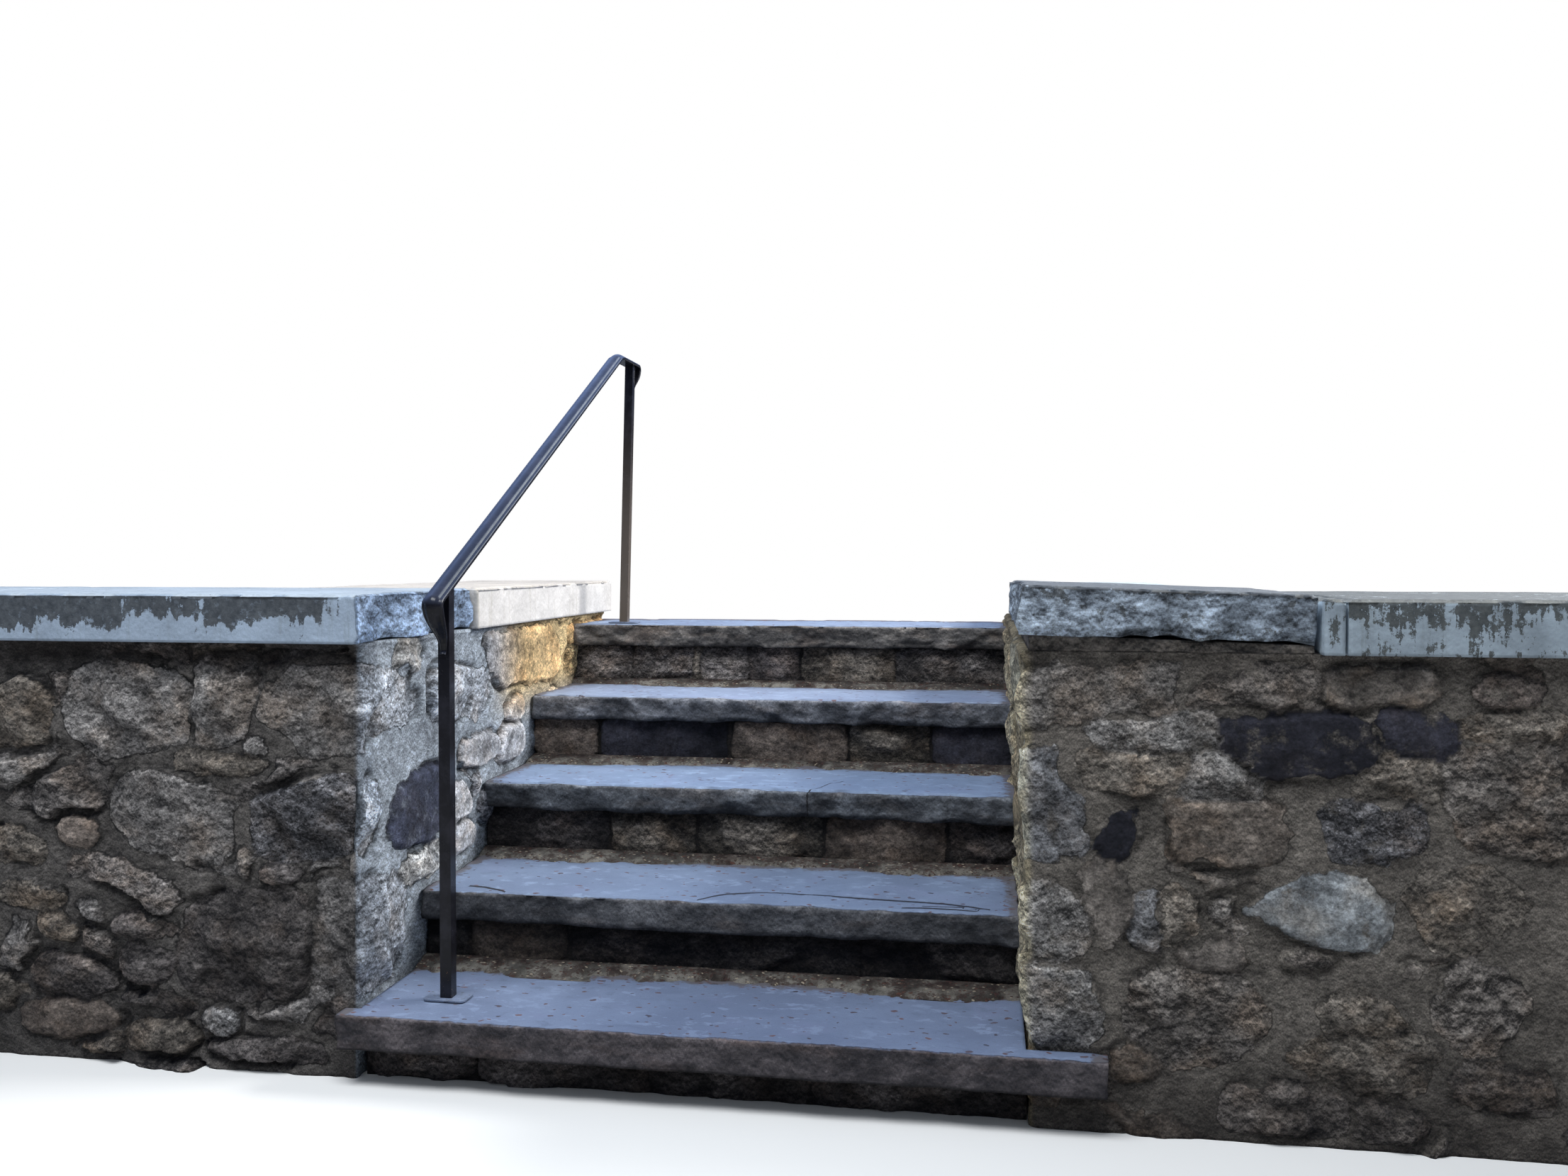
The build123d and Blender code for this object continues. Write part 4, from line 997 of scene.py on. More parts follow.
def bluestone_material(name, looks):
    """A split slab: blue-grey with long clefts on top, and a dark weathered broken edge."""
    made, tree, shader = start_material(name)
    place = object_place(tree)
    top, face = looks["top"], looks["face"]
    upward = attribute(tree, "upward")

    clouds = noise(tree, place, 4.5, 5, 0.6)
    slab = mix_colour(tree, remap(tree, clouds, 0.32, 0.68), top, toned(top, (0.80, 0.79, 0.80)))
    violet = remap(tree, noise(tree, place, 7.5, 3, 0.5), 0.55, 0.7)
    slab = mix_colour(tree, times(tree, violet, 0.35), slab, toned(top, (1.06, 0.96, 1.02)))
    clefts = noise(tree, stretched(tree, place, (20, 34, 24)), 1.0, 8, 0.68)
    # Lighter and darker along the clefts: the stone's grain, with painted highlights on the raised parts
    slab = mix_colour(tree, remap(tree, clefts, 0.54, 0.62), slab, toned(top, 1.16))
    slab = mix_colour(tree, remap(tree, clefts, 0.45, 0.35), slab, toned(top, 0.78))
    grit = noise(tree, place, 380, 3, 0.6)
    slab = mix_colour(tree, remap(tree, grit, 0.40, 0.28), slab, (0.72, 0.71, 0.72), "MULTIPLY")
    grime_and_shade = remap(tree, noise(tree, place, 60, 6, 0.75), 0.62, 0.78)
    slab = mix_colour(tree, times(tree, grime_and_shade, 0.7), slab, (0.075, 0.065, 0.062))
    scuff = remap(tree, noise(tree, stretched(tree, place, (26, 40, 20)), 1.0, 5, 0.7), 0.66, 0.74)
    slab = mix_colour(tree, times(tree, scuff, 0.6), slab, toned(top, 1.55))
    dirt = attribute(tree, "dirt")
    dirty = plus(tree, dirt, linear(tree, noise(tree, place, 38, 6, 0.7), 1.4, -0.7))
    slab = mix_colour(tree, times(tree, remap(tree, dirty, 0.42, 0.75), 0.8), slab, (0.100, 0.082, 0.070))
    slab = littered(tree, place, slab, linear(tree, dirt, 0.55, 0.12), 36.0)

    pits = noise(tree, stretched(tree, place, (30, 30, 34 + 18 * looks["layers"])), 1.0, 10, 0.72)
    lumps = noise(tree, place, 11, 6, 0.62)
    broken = shade(tree, face, lumps, 0.33, 0.68, 0.55, 1.45)
    film = remap(tree, noise(tree, stretched(tree, place, (6, 8, 20)), 1.0, 7, 0.65), 0.48, 0.68)
    broken = mix_colour(tree, times(tree, film, 0.6), broken, (0.92, 0.74, 0.62), "MULTIPLY")
    chalk = remap(tree, noise(tree, place, 90, 7, 0.75), 0.56, 0.70)
    broken = mix_colour(tree, times(tree, chalk, 0.5), broken, brighten(tree, face, 2.6))
    broken = shade(tree, broken, pits, 0.34, 0.56, 0.38, 1.25)
    # Painted shade in the scoops and painted light on the upper lip, painted light and shade of fine bumps,
    # and faces lighter where they face up: painted light with pale dust
    broken = shade(tree, broken, attribute(tree, "wear_and_shade"), -1.0, 1.0, 0.40, 1.9)
    facing = times(tree, painted_relief_light(tree, place, 38, 7, 0.68, 0.005), 5.0)
    broken = shade(tree, broken, facing, -0.7, 1.0, 0.40, 2.0)
    broken = shade(tree, broken, facing_up(tree), -0.5, 0.6, 0.60, 1.75)

    turn = remap(tree, linear(tree, noise(tree, place, 70, 4, 0.6), 0.35, upward), 0.72, 0.86)
    colour = mix_colour(tree, turn, broken, slab)
    straying = noise(tree, place, 120, 4, 0.6)
    middle = calculate(tree, "SUBTRACT", attribute(tree, "crack"), 0.003)
    seam = calculate(tree, "ABSOLUTE", linear(tree, straying, 0.006, middle))
    wide = looks.get("split", THIN_CRACK)
    split = remap(tree, seam, wide, wide * 0.4)
    colour = mix_colour(tree, split, colour, (0.015, 0.014, 0.014))
    sheen = remap(tree, clefts, 0.3, 0.7, 0.62, 0.78)

    relief = bump(tree, clefts, 0.004, 0.35, bump(tree, grit, 0.0012, 0.35))
    rough_share = rest_of(tree, times(tree, turn, 0.95))
    relief = bump(tree, times(tree, pits, rough_share), 0.016, 0.85, relief)
    relief = bump(tree, rest_of(tree, split), 0.003, 1.0, relief)
    set_inputs(tree, shader, {"Base Color": colour, "Roughness": sheen, "Specular IOR Level": 0.35,
                              "Normal": relief})
    return made


def limewash_material(name, paint, stain_colour, stone_colour, cover, rock_face_light=(1.0, 1.0, 1.0)):
    """Flaking pale paint over stone, with a dark stain where water has stood.

    The paint is gone where the noise passes the cover.
    """
    made, tree, shader = start_material(name)
    place = object_place(tree)
    stain = attribute(tree, "stain")
    rocky = attribute(tree, "rocky")
    pits = noise(tree, stretched(tree, place, (30, 30, 55)), 1.0, 9, 0.70)
    body = noise(tree, place, 22, 8, 0.68)
    stone = shade(tree, stone_colour, body, 0.33, 0.68, 0.5, 1.6)

    wash = shade(tree, paint, noise(tree, place, 10, 6, 0.62), 0.33, 0.70, 0.80, 1.06)
    runs = noise(tree, stretched(tree, place, (55, 55, 4)), 1.0, 6, 0.65)
    runs = times(tree, remap(tree, runs, 0.52, 0.72), 0.55)
    wash = mix_colour(tree, runs, wash, toned(paint, (0.66, 0.64, 0.58)))
    flakes = noise(tree, place, 48, 9, 0.74)
    wear = linear(tree, rocky, 0.10, times(tree, noise(tree, place, 7, 4, 0.6), 0.5))
    gone = remap(tree, plus(tree, flakes, wear), cover, cover + 0.03)
    colour = mix_colour(tree, gone, wash, stone)
    # Rock faces: painted shade in the pits' low parts, and a tint of painted light, blue on the rock faces of
    # the shaded finish, set for its lit passage face
    hollow_shade = shade(tree, colour, pits, 0.36, 0.54, 0.22, 1.15)
    colour = mix_colour(tree, rocky, colour, mix_colour(tree, 1.0, hollow_shade, rock_face_light, "MULTIPLY"))
    # Painted light and shade of fine bumps, strongest on rock faces, and painted shade in the mesh's recesses
    # and scoops
    facing = times(tree, painted_relief_light(tree, place, 34, 8, 0.66, 0.005), 6.0)
    facing = times(tree, facing, linear(tree, rocky, 0.85, 0.15))
    colour = shade(tree, colour, facing, -0.7, 1.0, 0.28, 2.1)
    colour = shade(tree, colour, attribute(tree, "wear_and_shade"), -1.0, 1.0, 0.45, 1.55)

    patchy = linear(tree, noise(tree, place, 30, 9, 0.78), 3.6, -1.8)
    drips = noise(tree, stretched(tree, place, (60, 60, 7)), 1.0, 5, 0.6)
    ragged = plus(tree, patchy, linear(tree, drips, 2.8, -1.4))
    stained = remap(tree, plus(tree, stain, ragged), 0.46, 0.56)
    peeking = remap(tree, noise(tree, place, 62, 8, 0.74), 0.56, 0.60)
    peeking = times(tree, peeking, remap(tree, stain, 0.6, 1.2, 0.75, 0.12))
    stained = times(tree, stained, rest_of(tree, peeking))
    growth = shade(tree, stain_colour, noise(tree, place, 60, 8, 0.72), 0.35, 0.66, 0.45, 1.7)
    colour = mix_colour(tree, times(tree, stained, 0.93), colour, growth)
    # Tops that face up are warmer, with less of the blue of the painted skylight on the sides
    flat = remap(tree, facing_up(tree), 0.75, 0.95)
    colour = mix_colour(tree, flat, colour, (1.0, 0.95, 0.88), "MULTIPLY")

    relief = bump(tree, noise(tree, place, 110, 7, 0.68), 0.004, 0.5)
    relief = bump(tree, times(tree, pits, rocky), 0.020, 0.9, relief)
    relief = bump(tree, rest_of(tree, gone), 0.0012, 0.6, relief)
    set_inputs(tree, shader, {"Base Color": colour, "Roughness": 0.82, "Specular IOR Level": 0.3,
                              "Normal": relief})
    return made


def sandy_mortar_material(sandy):
    """Pale sandy mortar, littered with dark grit and dry scraps."""
    made, tree, shader = start_material("sandy strip mortar")
    place = object_place(tree)
    clouds = remap(tree, noise(tree, place, 14, 6, 0.65), 0.40, 0.62)
    colour = mix_colour(tree, clouds, toned(sandy, 0.34), toned(sandy, 1.05))
    litter = remap(tree, noise(tree, place, 26, 7, 0.74), 0.47, 0.58)
    colour = mix_colour(tree, times(tree, litter, 0.8), colour, (0.066, 0.046, 0.040))
    behind = attribute(tree, "behind")
    # Darker towards the back of the strip and towards its right end
    back_darkening = times(tree, behind, remap(tree, noise(tree, place, 30, 6, 0.7), 0.35, 0.6, 0.45, 1.0))
    colour = mix_colour(tree, back_darkening, colour, (0.36, 0.31, 0.30), "MULTIPLY")
    colour = littered(tree, place, colour, linear(tree, behind, 0.25, 0.35), 52.0)
    crumbs = add_node(tree, "TexVoronoi", {"Vector": stretched(tree, place, (1, 1.8, 1)), "Scale": 95.0})
    pick = add_node(tree, "SeparateXYZ", {0: crumbs.outputs["Color"]})
    small = remap(tree, crumbs.outputs["Distance"], 0.36, 0.26)
    dark = times(tree, small, remap(tree, pick.outputs[0], 0.62, 0.66))
    colour = mix_colour(tree, dark, colour, (0.075, 0.045, 0.040))
    light = times(tree, small, remap(tree, pick.outputs[1], 0.78, 0.82))
    colour = mix_colour(tree, light, colour, (0.42, 0.36, 0.28))
    sand = noise(tree, place, 500, 3, 0.6)
    colour = mix_colour(tree, remap(tree, sand, 0.45, 0.3), colour, (0.5, 0.48, 0.46), "MULTIPLY")

    relief = bump(tree, noise(tree, place, 130, 8, 0.75), 0.008, 0.9)
    relief = bump(tree, small, 0.002, 0.7, relief)
    set_inputs(tree, shader, {"Base Color": colour, "Roughness": 0.95, "Specular IOR Level": 0.2,
                              "Normal": relief})
    return made


def rail_paint_material(name, paint, faded_and_sunlit):
    """Old gloss paint on iron: brush marks, chips, rust where it is rubbed through, dust and painted
    sunlight low down.
    """
    made, tree, shader = start_material(name)
    place = object_place(tree)
    height = component(tree, place, 2)
    thick = noise(tree, place, 30, 5, 0.6)
    colour = mix_colour(tree, remap(tree, thick, 0.4, 0.7), paint, toned(paint, 2.2))
    # Lighter and browner low down where the share is above 0: dust with painted sunlight
    dust_and_sunlight = remap(tree, height, 1.55, 1.0, 0.0, faded_and_sunlit)
    colour = mix_colour(tree, dust_and_sunlight, colour, (0.135, 0.112, 0.095))
    chips = noise(tree, place, 160, 7, 0.72)
    wear = remap(tree, noise(tree, place, 9, 3, 0.6), 0.35, 0.75, 0.0, 0.08)
    low_down = remap(tree, height, 0.30, 0.15, 0.0, 0.07)
    chipped = remap(tree, plus(tree, plus(tree, chips, wear), low_down), 0.745, 0.765)
    speckled = remap(tree, noise(tree, place, 320, 4, 0.7), 0.4, 0.62)
    rust = mix_colour(tree, speckled, (0.055, 0.024, 0.014), (0.20, 0.10, 0.055))
    colour = mix_colour(tree, chipped, colour, rust)
    gloss = remap(tree, noise(tree, place, 40, 4, 0.6), 0.3, 0.75, 0.14, 0.30)
    dull = add_node(tree, "Mix", {0: chipped, 2: gloss, 3: 0.85}, data_type="FLOAT").outputs[0]

    relief = bump(tree, noise(tree, place, 30, 2, 0.5), 0.0010, 0.35)
    relief = bump(tree, rest_of(tree, chipped), 0.0005, 0.9, relief)
    set_inputs(tree, shader, {"Base Color": colour, "Roughness": dull, "Specular IOR Level": 0.20,
                              "Coat Weight": 0.06, "Coat Roughness": 0.12, "Normal": relief})
    return made


def cement_material():
    """Smooth grey cement round the feet of the posts."""
    made, tree, shader = start_material("patch cement")
    place = object_place(tree)
    clouds = remap(tree, noise(tree, place, 40, 6, 0.65), 0.35, 0.68)
    colour = mix_colour(tree, clouds, (0.118, 0.150, 0.225), (0.160, 0.203, 0.300))
    spots = remap(tree, noise(tree, place, 120, 6, 0.75), 0.54, 0.64)
    colour = mix_colour(tree, spots, colour, (0.085, 0.095, 0.120))
    relief = bump(tree, noise(tree, place, 220, 6, 0.7), 0.002, 0.6)
    set_inputs(tree, shader, {"Base Color": colour, "Roughness": 0.9, "Normal": relief})
    return made


def floor_material(colour):
    """The floor. The camera sees it nearly white, and it throws less light back on the object."""
    made, tree, shader = start_material("pale floor")
    seen = add_node(tree, "LightPath").outputs["Is Camera Ray"]
    away = add_node(tree, "VectorMath", {0: object_place(tree)}, operation="LENGTH").outputs["Value"]
    far_white = times(tree, remap(tree, away, 2.6, 6.0, 0.0, 0.95), seen)
    set_inputs(tree, shader, {"Base Color": mix_colour(tree, seen, colour, (0.93, 0.93, 0.93)),
                              "Emission Strength": far_white, "Emission Color": (1.0, 1.0, 1.0, 1.0),
                              "Roughness": 0.9})
    return made


# Walls


def wall_line(side):
    """Corners in plan of the face of one wall, counter-clockwise."""
    if side == "left":
        front_low, front_high, cheek_low, cheek_high = (LEFT_FRONT_LOW, LEFT_FRONT_HIGH, LEFT_CHEEK_LOW,
                                                        LEFT_CHEEK_HIGH)
        rear = cheek_high.y - WALL_REAR_INSET
        corners = [(front_low.x, front_high.y), (front_low.x, front_low.y), (front_high.x, front_low.y),
                   (front_high.x, rear), (cheek_low.x, rear), (cheek_low.x, front_high.y)]
    else:
        front_low, front_high, cheek_high = RIGHT_FRONT_LOW, RIGHT_FRONT_HIGH, RIGHT_CHEEK_HIGH
        rear = cheek_high.y - WALL_REAR_INSET
        corners = [(cheek_high.x, rear), (front_low.x, rear), (front_low.x, front_low.y),
                   (front_high.x, front_low.y), (front_high.x, front_high.y), (cheek_high.x, front_high.y)]
    return np.array(corners)


def line_places(corners, along, radius):
    """Places in plan, and the directions that face outwards, at distances along a closed line."""
    ahead = np.roll(corners, -1, axis=0)
    lengths = np.linalg.norm(ahead - corners, axis=1)
    starts = np.concatenate([[0], np.cumsum(lengths)])
    whole = starts[-1]
    along = np.mod(along, whole)
    edge = np.clip(np.searchsorted(starts, along, side="right") - 1, 0, len(corners) - 1)
    heading = (ahead - corners) / lengths[:, None]
    place = corners[edge] + heading[edge] * (along - starts[edge])[:, None]
    facing = heading[edge].copy()
    for number in range(len(corners)):
        before, after = heading[number - 1], heading[number]
        offset = np.mod(along - starts[number] + whole / 2, whole) - whole / 2
        near = np.abs(offset) < radius
        share = ((offset[near] + radius) / (2 * radius))[:, None]
        entry, leave = corners[number] - before * radius, corners[number] + after * radius
        place[near] = ((1 - share) ** 2 * entry + 2 * share * (1 - share) * corners[number]
                       + share ** 2 * leave)
        facing[near] = (1 - share) * before + share * after
    facing /= np.linalg.norm(facing, axis=1)[:, None]
    outward = np.stack([facing[:, 1], -facing[:, 0]], 1)
    return place, outward


def relief_shade_share(height, rows, columns, passes, scale):
    """How far each point of a grid stands above its surroundings, from -1 in a pit to 1 on a ridge."""
    field = height.reshape(columns, rows)
    blurred = field.copy()
    for _ in range(passes):
        blurred = (blurred + np.roll(blurred, 1, 0) + np.roll(blurred, -1, 0)
                   + np.concatenate([blurred[:, :1], blurred[:, :-1]], 1)
                   + np.concatenate([blurred[:, 1:], blurred[:, -1:]], 1)) / 5
    return np.clip((field - blurred) / scale, -1, 1).ravel()


def painted_passage_light(side, along, level):
    """Painted light: how much lighter the stones and the mortar of a wall are painted on its passage side."""
    if side == "right":
        return [np.array(tone) for tone in RIGHT_TONES]
    sunlit = (ease(along, 0.62, 0.90) * ease(level, 0.58, 0.72))[:, None]
    return [np.array(shaded) * (1 - sunlit) + np.array(sunny) * sunlit
            for shaded, sunny in zip(SHADED_TONES, SUNLIT_TONES)]


def make_wall(side, settings, material):
    """One fieldstone wall: the stones of its seen faces as they lie, and like stones round the rest."""
    corners = wall_line(side)
    bedding = WALLS[side]
    inner = 1 if side == "left" else -1
    lengths = np.linalg.norm(np.roll(corners, -1, axis=0) - corners, axis=1)
    starts = np.concatenate([[0], np.cumsum(lengths)])
    steps = [settings.hidden_step] * len(corners)
    steps[2] = settings.seen_step
    steps[1] = settings.seen_step if side == "left" else settings.hidden_step * 0.75
    along = np.concatenate([spaced(starts[number], starts[number + 1], step)[:-1]
                            for number, step in enumerate(steps)])
    levels = spaced(0.0, WALL_TOP, settings.seen_step)
    columns, rows = len(along), len(levels)
    place, outward = line_places(corners, along, CORNER_RADIUS)

    along_grid = np.repeat(along - starts[PASSAGE_CORNER], rows)
    level_grid = np.tile(levels, columns)
    base = np.column_stack([np.repeat(place, rows, axis=0), level_grid])
    away = np.repeat(outward, rows, axis=0)
    seed = settings.seed + (1 if side == "left" else 2)
    stones = (LEFT_STONES if side == "left" else RIGHT_STONES) + hidden_stones(side, settings.seed)
    laid = lay_stones(np.column_stack([along_grid, level_grid]), base, stones, bedding, seed)

    height = laid["height"] * ease(WALL_TOP + 0.004 - level_grid, 0.0, 0.02)
    points = base.copy()
    points[:, :2] += away * height[:, None]
    faces_passage = np.clip(away[:, 0] * inner, 0, 1)
    lean = bedding["lean"] * (level_grid / WALL_TOP) ** 1.5
    points[:, 0] += inner * lean * faces_passage * ease(WALL_TOP - level_grid, -0.001, 0.001)
    points[:, 1] = np.minimum(points[:, 1], CAD_HIGH.y)

    ring = np.arange(columns)
    up = np.arange(rows - 1)
    a = (ring[:, None] * rows + up).ravel()
    b = (np.roll(ring, -1)[:, None] * rows + up).ravel()
    faces = np.stack([a, b, b + 1, a + 1], 1).tolist()
    faces.append((ring * rows + rows - 1).tolist())
    faces.append((ring[::-1] * rows).tolist())

    # Painted shade in the pits and painted light on the ridges of the wall's relief, with wear
    fine = relief_shade_share(laid["height"], rows, columns, 3, 0.0035)
    broad = relief_shade_share(laid["height"], rows, columns, 22, 0.011)
    wear_and_shade = np.clip(0.6 * fine + 0.6 * broad, -1, 1)
    # Painted light on the passage side, for the stones and for the mortar
    beside = ease(faces_passage, 0.3, 0.9)[:, None]
    stone_tone, mortar_tone = painted_passage_light(side, along_grid, level_grid)
    bed_tint = np.array(bedding["mortar_colour"]) * (1 + (mortar_tone - 1) * beside)
    laid["tint"] = laid["tint"] * (1 + (stone_tone - 1) * beside)
    # Dirt and painted shade: darker in a band under the coping's overhang and towards the ground (on the left
    # only on the front), and in random damp patches
    damp = roughness(base, 0.25, seed + 77, 3)
    if side == "left":
        in_front = 1 - ease(faces_passage, 0.2, 0.8)
        grime_and_shade = (0.85 * ease(level_grid, 0.795, 0.84) * in_front
                 + 0.30 * ease(-level_grid, -0.34, -0.02) * in_front)
    else:
        grime_and_shade = 0.35 * ease(level_grid, 0.80, 0.85) + 0.55 * ease(-level_grid, -0.26, -0.02)
    grime_and_shade = np.clip(grime_and_shade + 0.12 * damp, 0, 0.9)
    marks = stone_marks(laid, wear_and_shade, grime_and_shade, bed_tint)
    finish_piece(f"{side}_fieldstone_wall", points, faces, material, marks,
                 (f"{side}_front_wall", f"{side}_cheek_wall"))


class STEPS_OT_walls(bpy.types.Operator):
    """Lays the two fieldstone walls"""

    bl_idname = "stone_steps.walls"
    bl_label = "Fieldstone walls"

    def execute(self, context):
        for side in SIDES:
            looks = WALLS[side]
            material = fieldstone_material(f"{side} wall fieldstone", looks["slop"], looks["crack"])
            make_wall(side, context.scene.steps_mesh, material)
        return {"FINISHED"}


# Treads


def scooped_edge(along, up, span, height, depth, seed, per_metre):
    """Depth of the shell-shaped scoops that pitching leaves along a broken edge."""
    dice = np.random.default_rng(seed)
    total = np.zeros(len(along))
    for _ in range(int(per_metre * (span[1] - span[0]))):
        centre = dice.uniform(*span)
        wide = dice.uniform(0.03, 0.10)
        tall = dice.uniform(0.5, 1.3) * height
        level = dice.choice([0.0, height, height, height * 0.5]) + dice.uniform(-0.2, 0.2) * height
        deep = depth * dice.uniform(0.4, 1.0)
        total = np.maximum(total, deep * (1 - ((along - centre) / wide) ** 2 - ((up - level) / tall) ** 2))
    return total


def crack_gaps(number, start, on_top):
    """How far each point of a tread lies from the nearest crack, or 1 where none is near."""
    nearest = np.full(len(start), 1.0)
    for crack in CRACKS_INWARD.get(number, ()):
        across, into = np.array(crack).T
        gap = start[:, 0] - np.interp(start[:, 1], into, across)
        nearest = np.where(start[:, 1] < into[-1], gap, nearest)
    for crack in CRACKS_ALONG.get(number, ()):
        across, into = np.array(crack).T
        gap = start[:, 1] - np.interp(start[:, 0], across, into)
        within = (start[:, 0] > across[0]) & (start[:, 0] < across[-1]) & on_top & (np.abs(gap) < 0.02)
        nearest = np.where(within & (np.abs(gap) < np.abs(nearest)), gap, nearest)
    return nearest


def make_tread(number, settings):
    """A thick split slab with a pitched front edge. The bottom one is notched round the walls."""
    low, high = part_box(f"tread_{number}")
    looks = TREAD_LOOKS[number - 1]
    step = settings.seen_step
    xs = spaced(low.x, high.x, step)
    ys = graded(low.y, high.y, step * 0.75, step * 1.8, 0.05)
    zs = spaced(low.z, high.z, step * 0.75)
    solid = None
    if number == 1:
        passage = RIGHT_FRONT_LOW.x
        left_cut, right_cut = np.argmin(abs(xs + passage)), np.argmin(abs(xs - passage))
        cut = np.argmin(abs(ys - WALL_FRONT))
        ys[cut] = WALL_FRONT
        solid = np.ones((len(xs) - 1, len(ys) - 1, len(zs) - 1), bool)
        solid[:left_cut, cut:] = False
        solid[right_cut:, cut:] = False
    points, faces = block_shell(xs, ys, zs, solid)
    start = points.copy()
    tall = high.z - low.z
    up = start[:, 2] - low.z
    on_top = start[:, 2] > high.z - EDGE
    seed = settings.seed * 31 + number

    # The broken front edge: scoops, a rough grain, layers that stand out and arrises rounded by wear
    deepest = looks["scoops"]
    across = start * np.array([1.0, 0.0, 1.0])
    scoop = scooped_edge(start[:, 0], up, (low.x, high.x), tall, deepest, seed, 30)
    coarse = roughness(across, 0.06, seed + 1, 4, 0.5)
    leaf = np.array([0.40, 1.0, 1.0])
    layered = looks["layers"] * 0.006 * ease(roughness(across * leaf, 0.016, seed + 2, 3), -0.25, 0.25)
    arris = 0.6 * deepest * ease(up, tall - 0.012, tall) + 0.6 * deepest * ease(-up, -0.010, 0)
    inset = 0.0005 + scoop + np.abs(coarse) * looks["rough"] * 2.2 + layered + arris * (0.6 + 0.4 * coarse)
    points[:, 1] += inset * (1 - ease(start[:, 1], low.y, low.y + 0.045))
    lower_edge = 1 - ease(up, 0, tall * 0.45)
    points[:, 2] += 0.30 * scoop * lower_edge * (1 - ease(start[:, 1], low.y, low.y + 0.03))

    # The top, split along the bed, and the rough ends
    split = roughness(start * np.array([0.55, 1.0, 1.0]), 0.09, seed + 5, 4, 0.5)
    sunk = 0.0016 * ease(split, -0.1, 0.1) + 0.0007 * (1 + roughness(start, 0.3, seed + 6, 3))
    chip = 0.7 * scoop * ease(-start[:, 1], -low.y - 0.018, -low.y)
    points[:, 2] -= np.where(on_top, sunk + chip, 0.0)
    ends = np.minimum(start[:, 0] - low.x, high.x - start[:, 0])
    end_rough = 0.004 * (1 + roughness(start, 0.05, seed + 8, 4)) * (1 - ease(ends, 0, 0.02))
    points[:, 0] += np.where(start[:, 0] < 0, 1, -1) * end_rough

    upward = on_top * (0.55 + 0.45 * ease(start[:, 1], low.y + 0.002, low.y + 0.02))
    back_line = points[:, 1].max() - UNDER_RISER if number < len(TREADS) else high.y
    dirt = ease(start[:, 1], back_line - 0.10, back_line - 0.02) * on_top
    near_end = ease(-ends, -0.07, -0.005) * on_top * 0.8
    # Painted shade in the scoops and painted light on the top arris, with wear and a rough tone
    wear_and_shade = 0.45 - 1.3 * scoop / (deepest + 0.003) + 0.5 * coarse + 0.5 * ease(up, tall - 0.01, tall)
    marks = dict(upward=upward, dirt=np.clip(dirt + near_end, 0, 1), wear_and_shade=np.clip(wear_and_shade, -1, 1),
                 crack=crack_gaps(number, start, on_top))
    material = bluestone_material(f"split bluestone {number}", looks)
    finish_piece(f"tread_{number}_slab", points, faces, material, marks,
                 (f"tread_{number}",))


class STEPS_OT_treads(bpy.types.Operator):
    """Makes the five slab treads"""

    bl_idname = "stone_steps.treads"
    bl_label = "Slab treads"

    def execute(self, context):
        for number in TREADS:
            make_tread(number, context.scene.steps_mesh)
        return {"FINISHED"}


# Risers, strips and core


def make_riser(number, settings, material):
    """A course of squared riser stones with the mortar between them."""
    low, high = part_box(f"riser_{number}")
    step = settings.seen_step * 0.8
    xs = spaced(low.x, high.x, step)
    ys = np.array([low.y, low.y + 0.02, low.y + 0.05, high.y])
    zs = spaced(low.z, high.z, step)
    points, faces = block_shell(xs, ys, zs)
    dice = np.random.default_rng(settings.seed * 7 + number)
    stones = []
    foot, head = low.z / MM, high.z / MM
    for kind, lightness, left, right in RISER_STONES[number - 1]:
        nick = dice.uniform(0, 7, 8)
        third = (right - left) / 3
        stones.append((kind, lightness, dice.uniform(-4, 4), [
            (left + nick[0], foot + 2 + nick[1]), (left + third, foot + nick[2] * 0.7),
            (right - third, foot + nick[3] * 0.7), (right - nick[4], foot + 2 + nick[5]),
            (right - nick[6], head + 3), (left + nick[7], head + 3)]))
    laid = lay_stones(points[:, [0, 2]], points, stones, RISER_BEDDING, settings.seed * 13 + number)
    front = points[:, 1] < low.y + EDGE
    points[:, 1] -= np.where(front, np.clip(laid["height"], -0.03, 0.004), 0)
    # Painted shade where the mortar lies back from the stones
    wear_and_shade = 0.6 - 1.5 * ease(-laid["height"], 0.000, 0.014)
    # Painted shade: darker at the top of the course, under the nosing of the tread above
    grime_and_shade = 0.45 * ease(points[:, 2], high.z - 0.05, high.z)
    marks = stone_marks(laid, wear_and_shade, grime_and_shade, RISER_BEDDING["mortar_colour"])
    finish_piece(f"riser_{number}_stones", points, faces, material, marks,
                 (f"riser_{number}",))


class STEPS_OT_risers(bpy.types.Operator):
    """Lays the five courses of riser stones"""

    bl_idname = "stone_steps.risers"
    bl_label = "Riser stones"

    def execute(self, context):
        material = fieldstone_material("riser stone", 0.15, 0.6)
        for number in TREADS:
            make_riser(number, context.scene.steps_mesh, material)
        return {"FINISHED"}


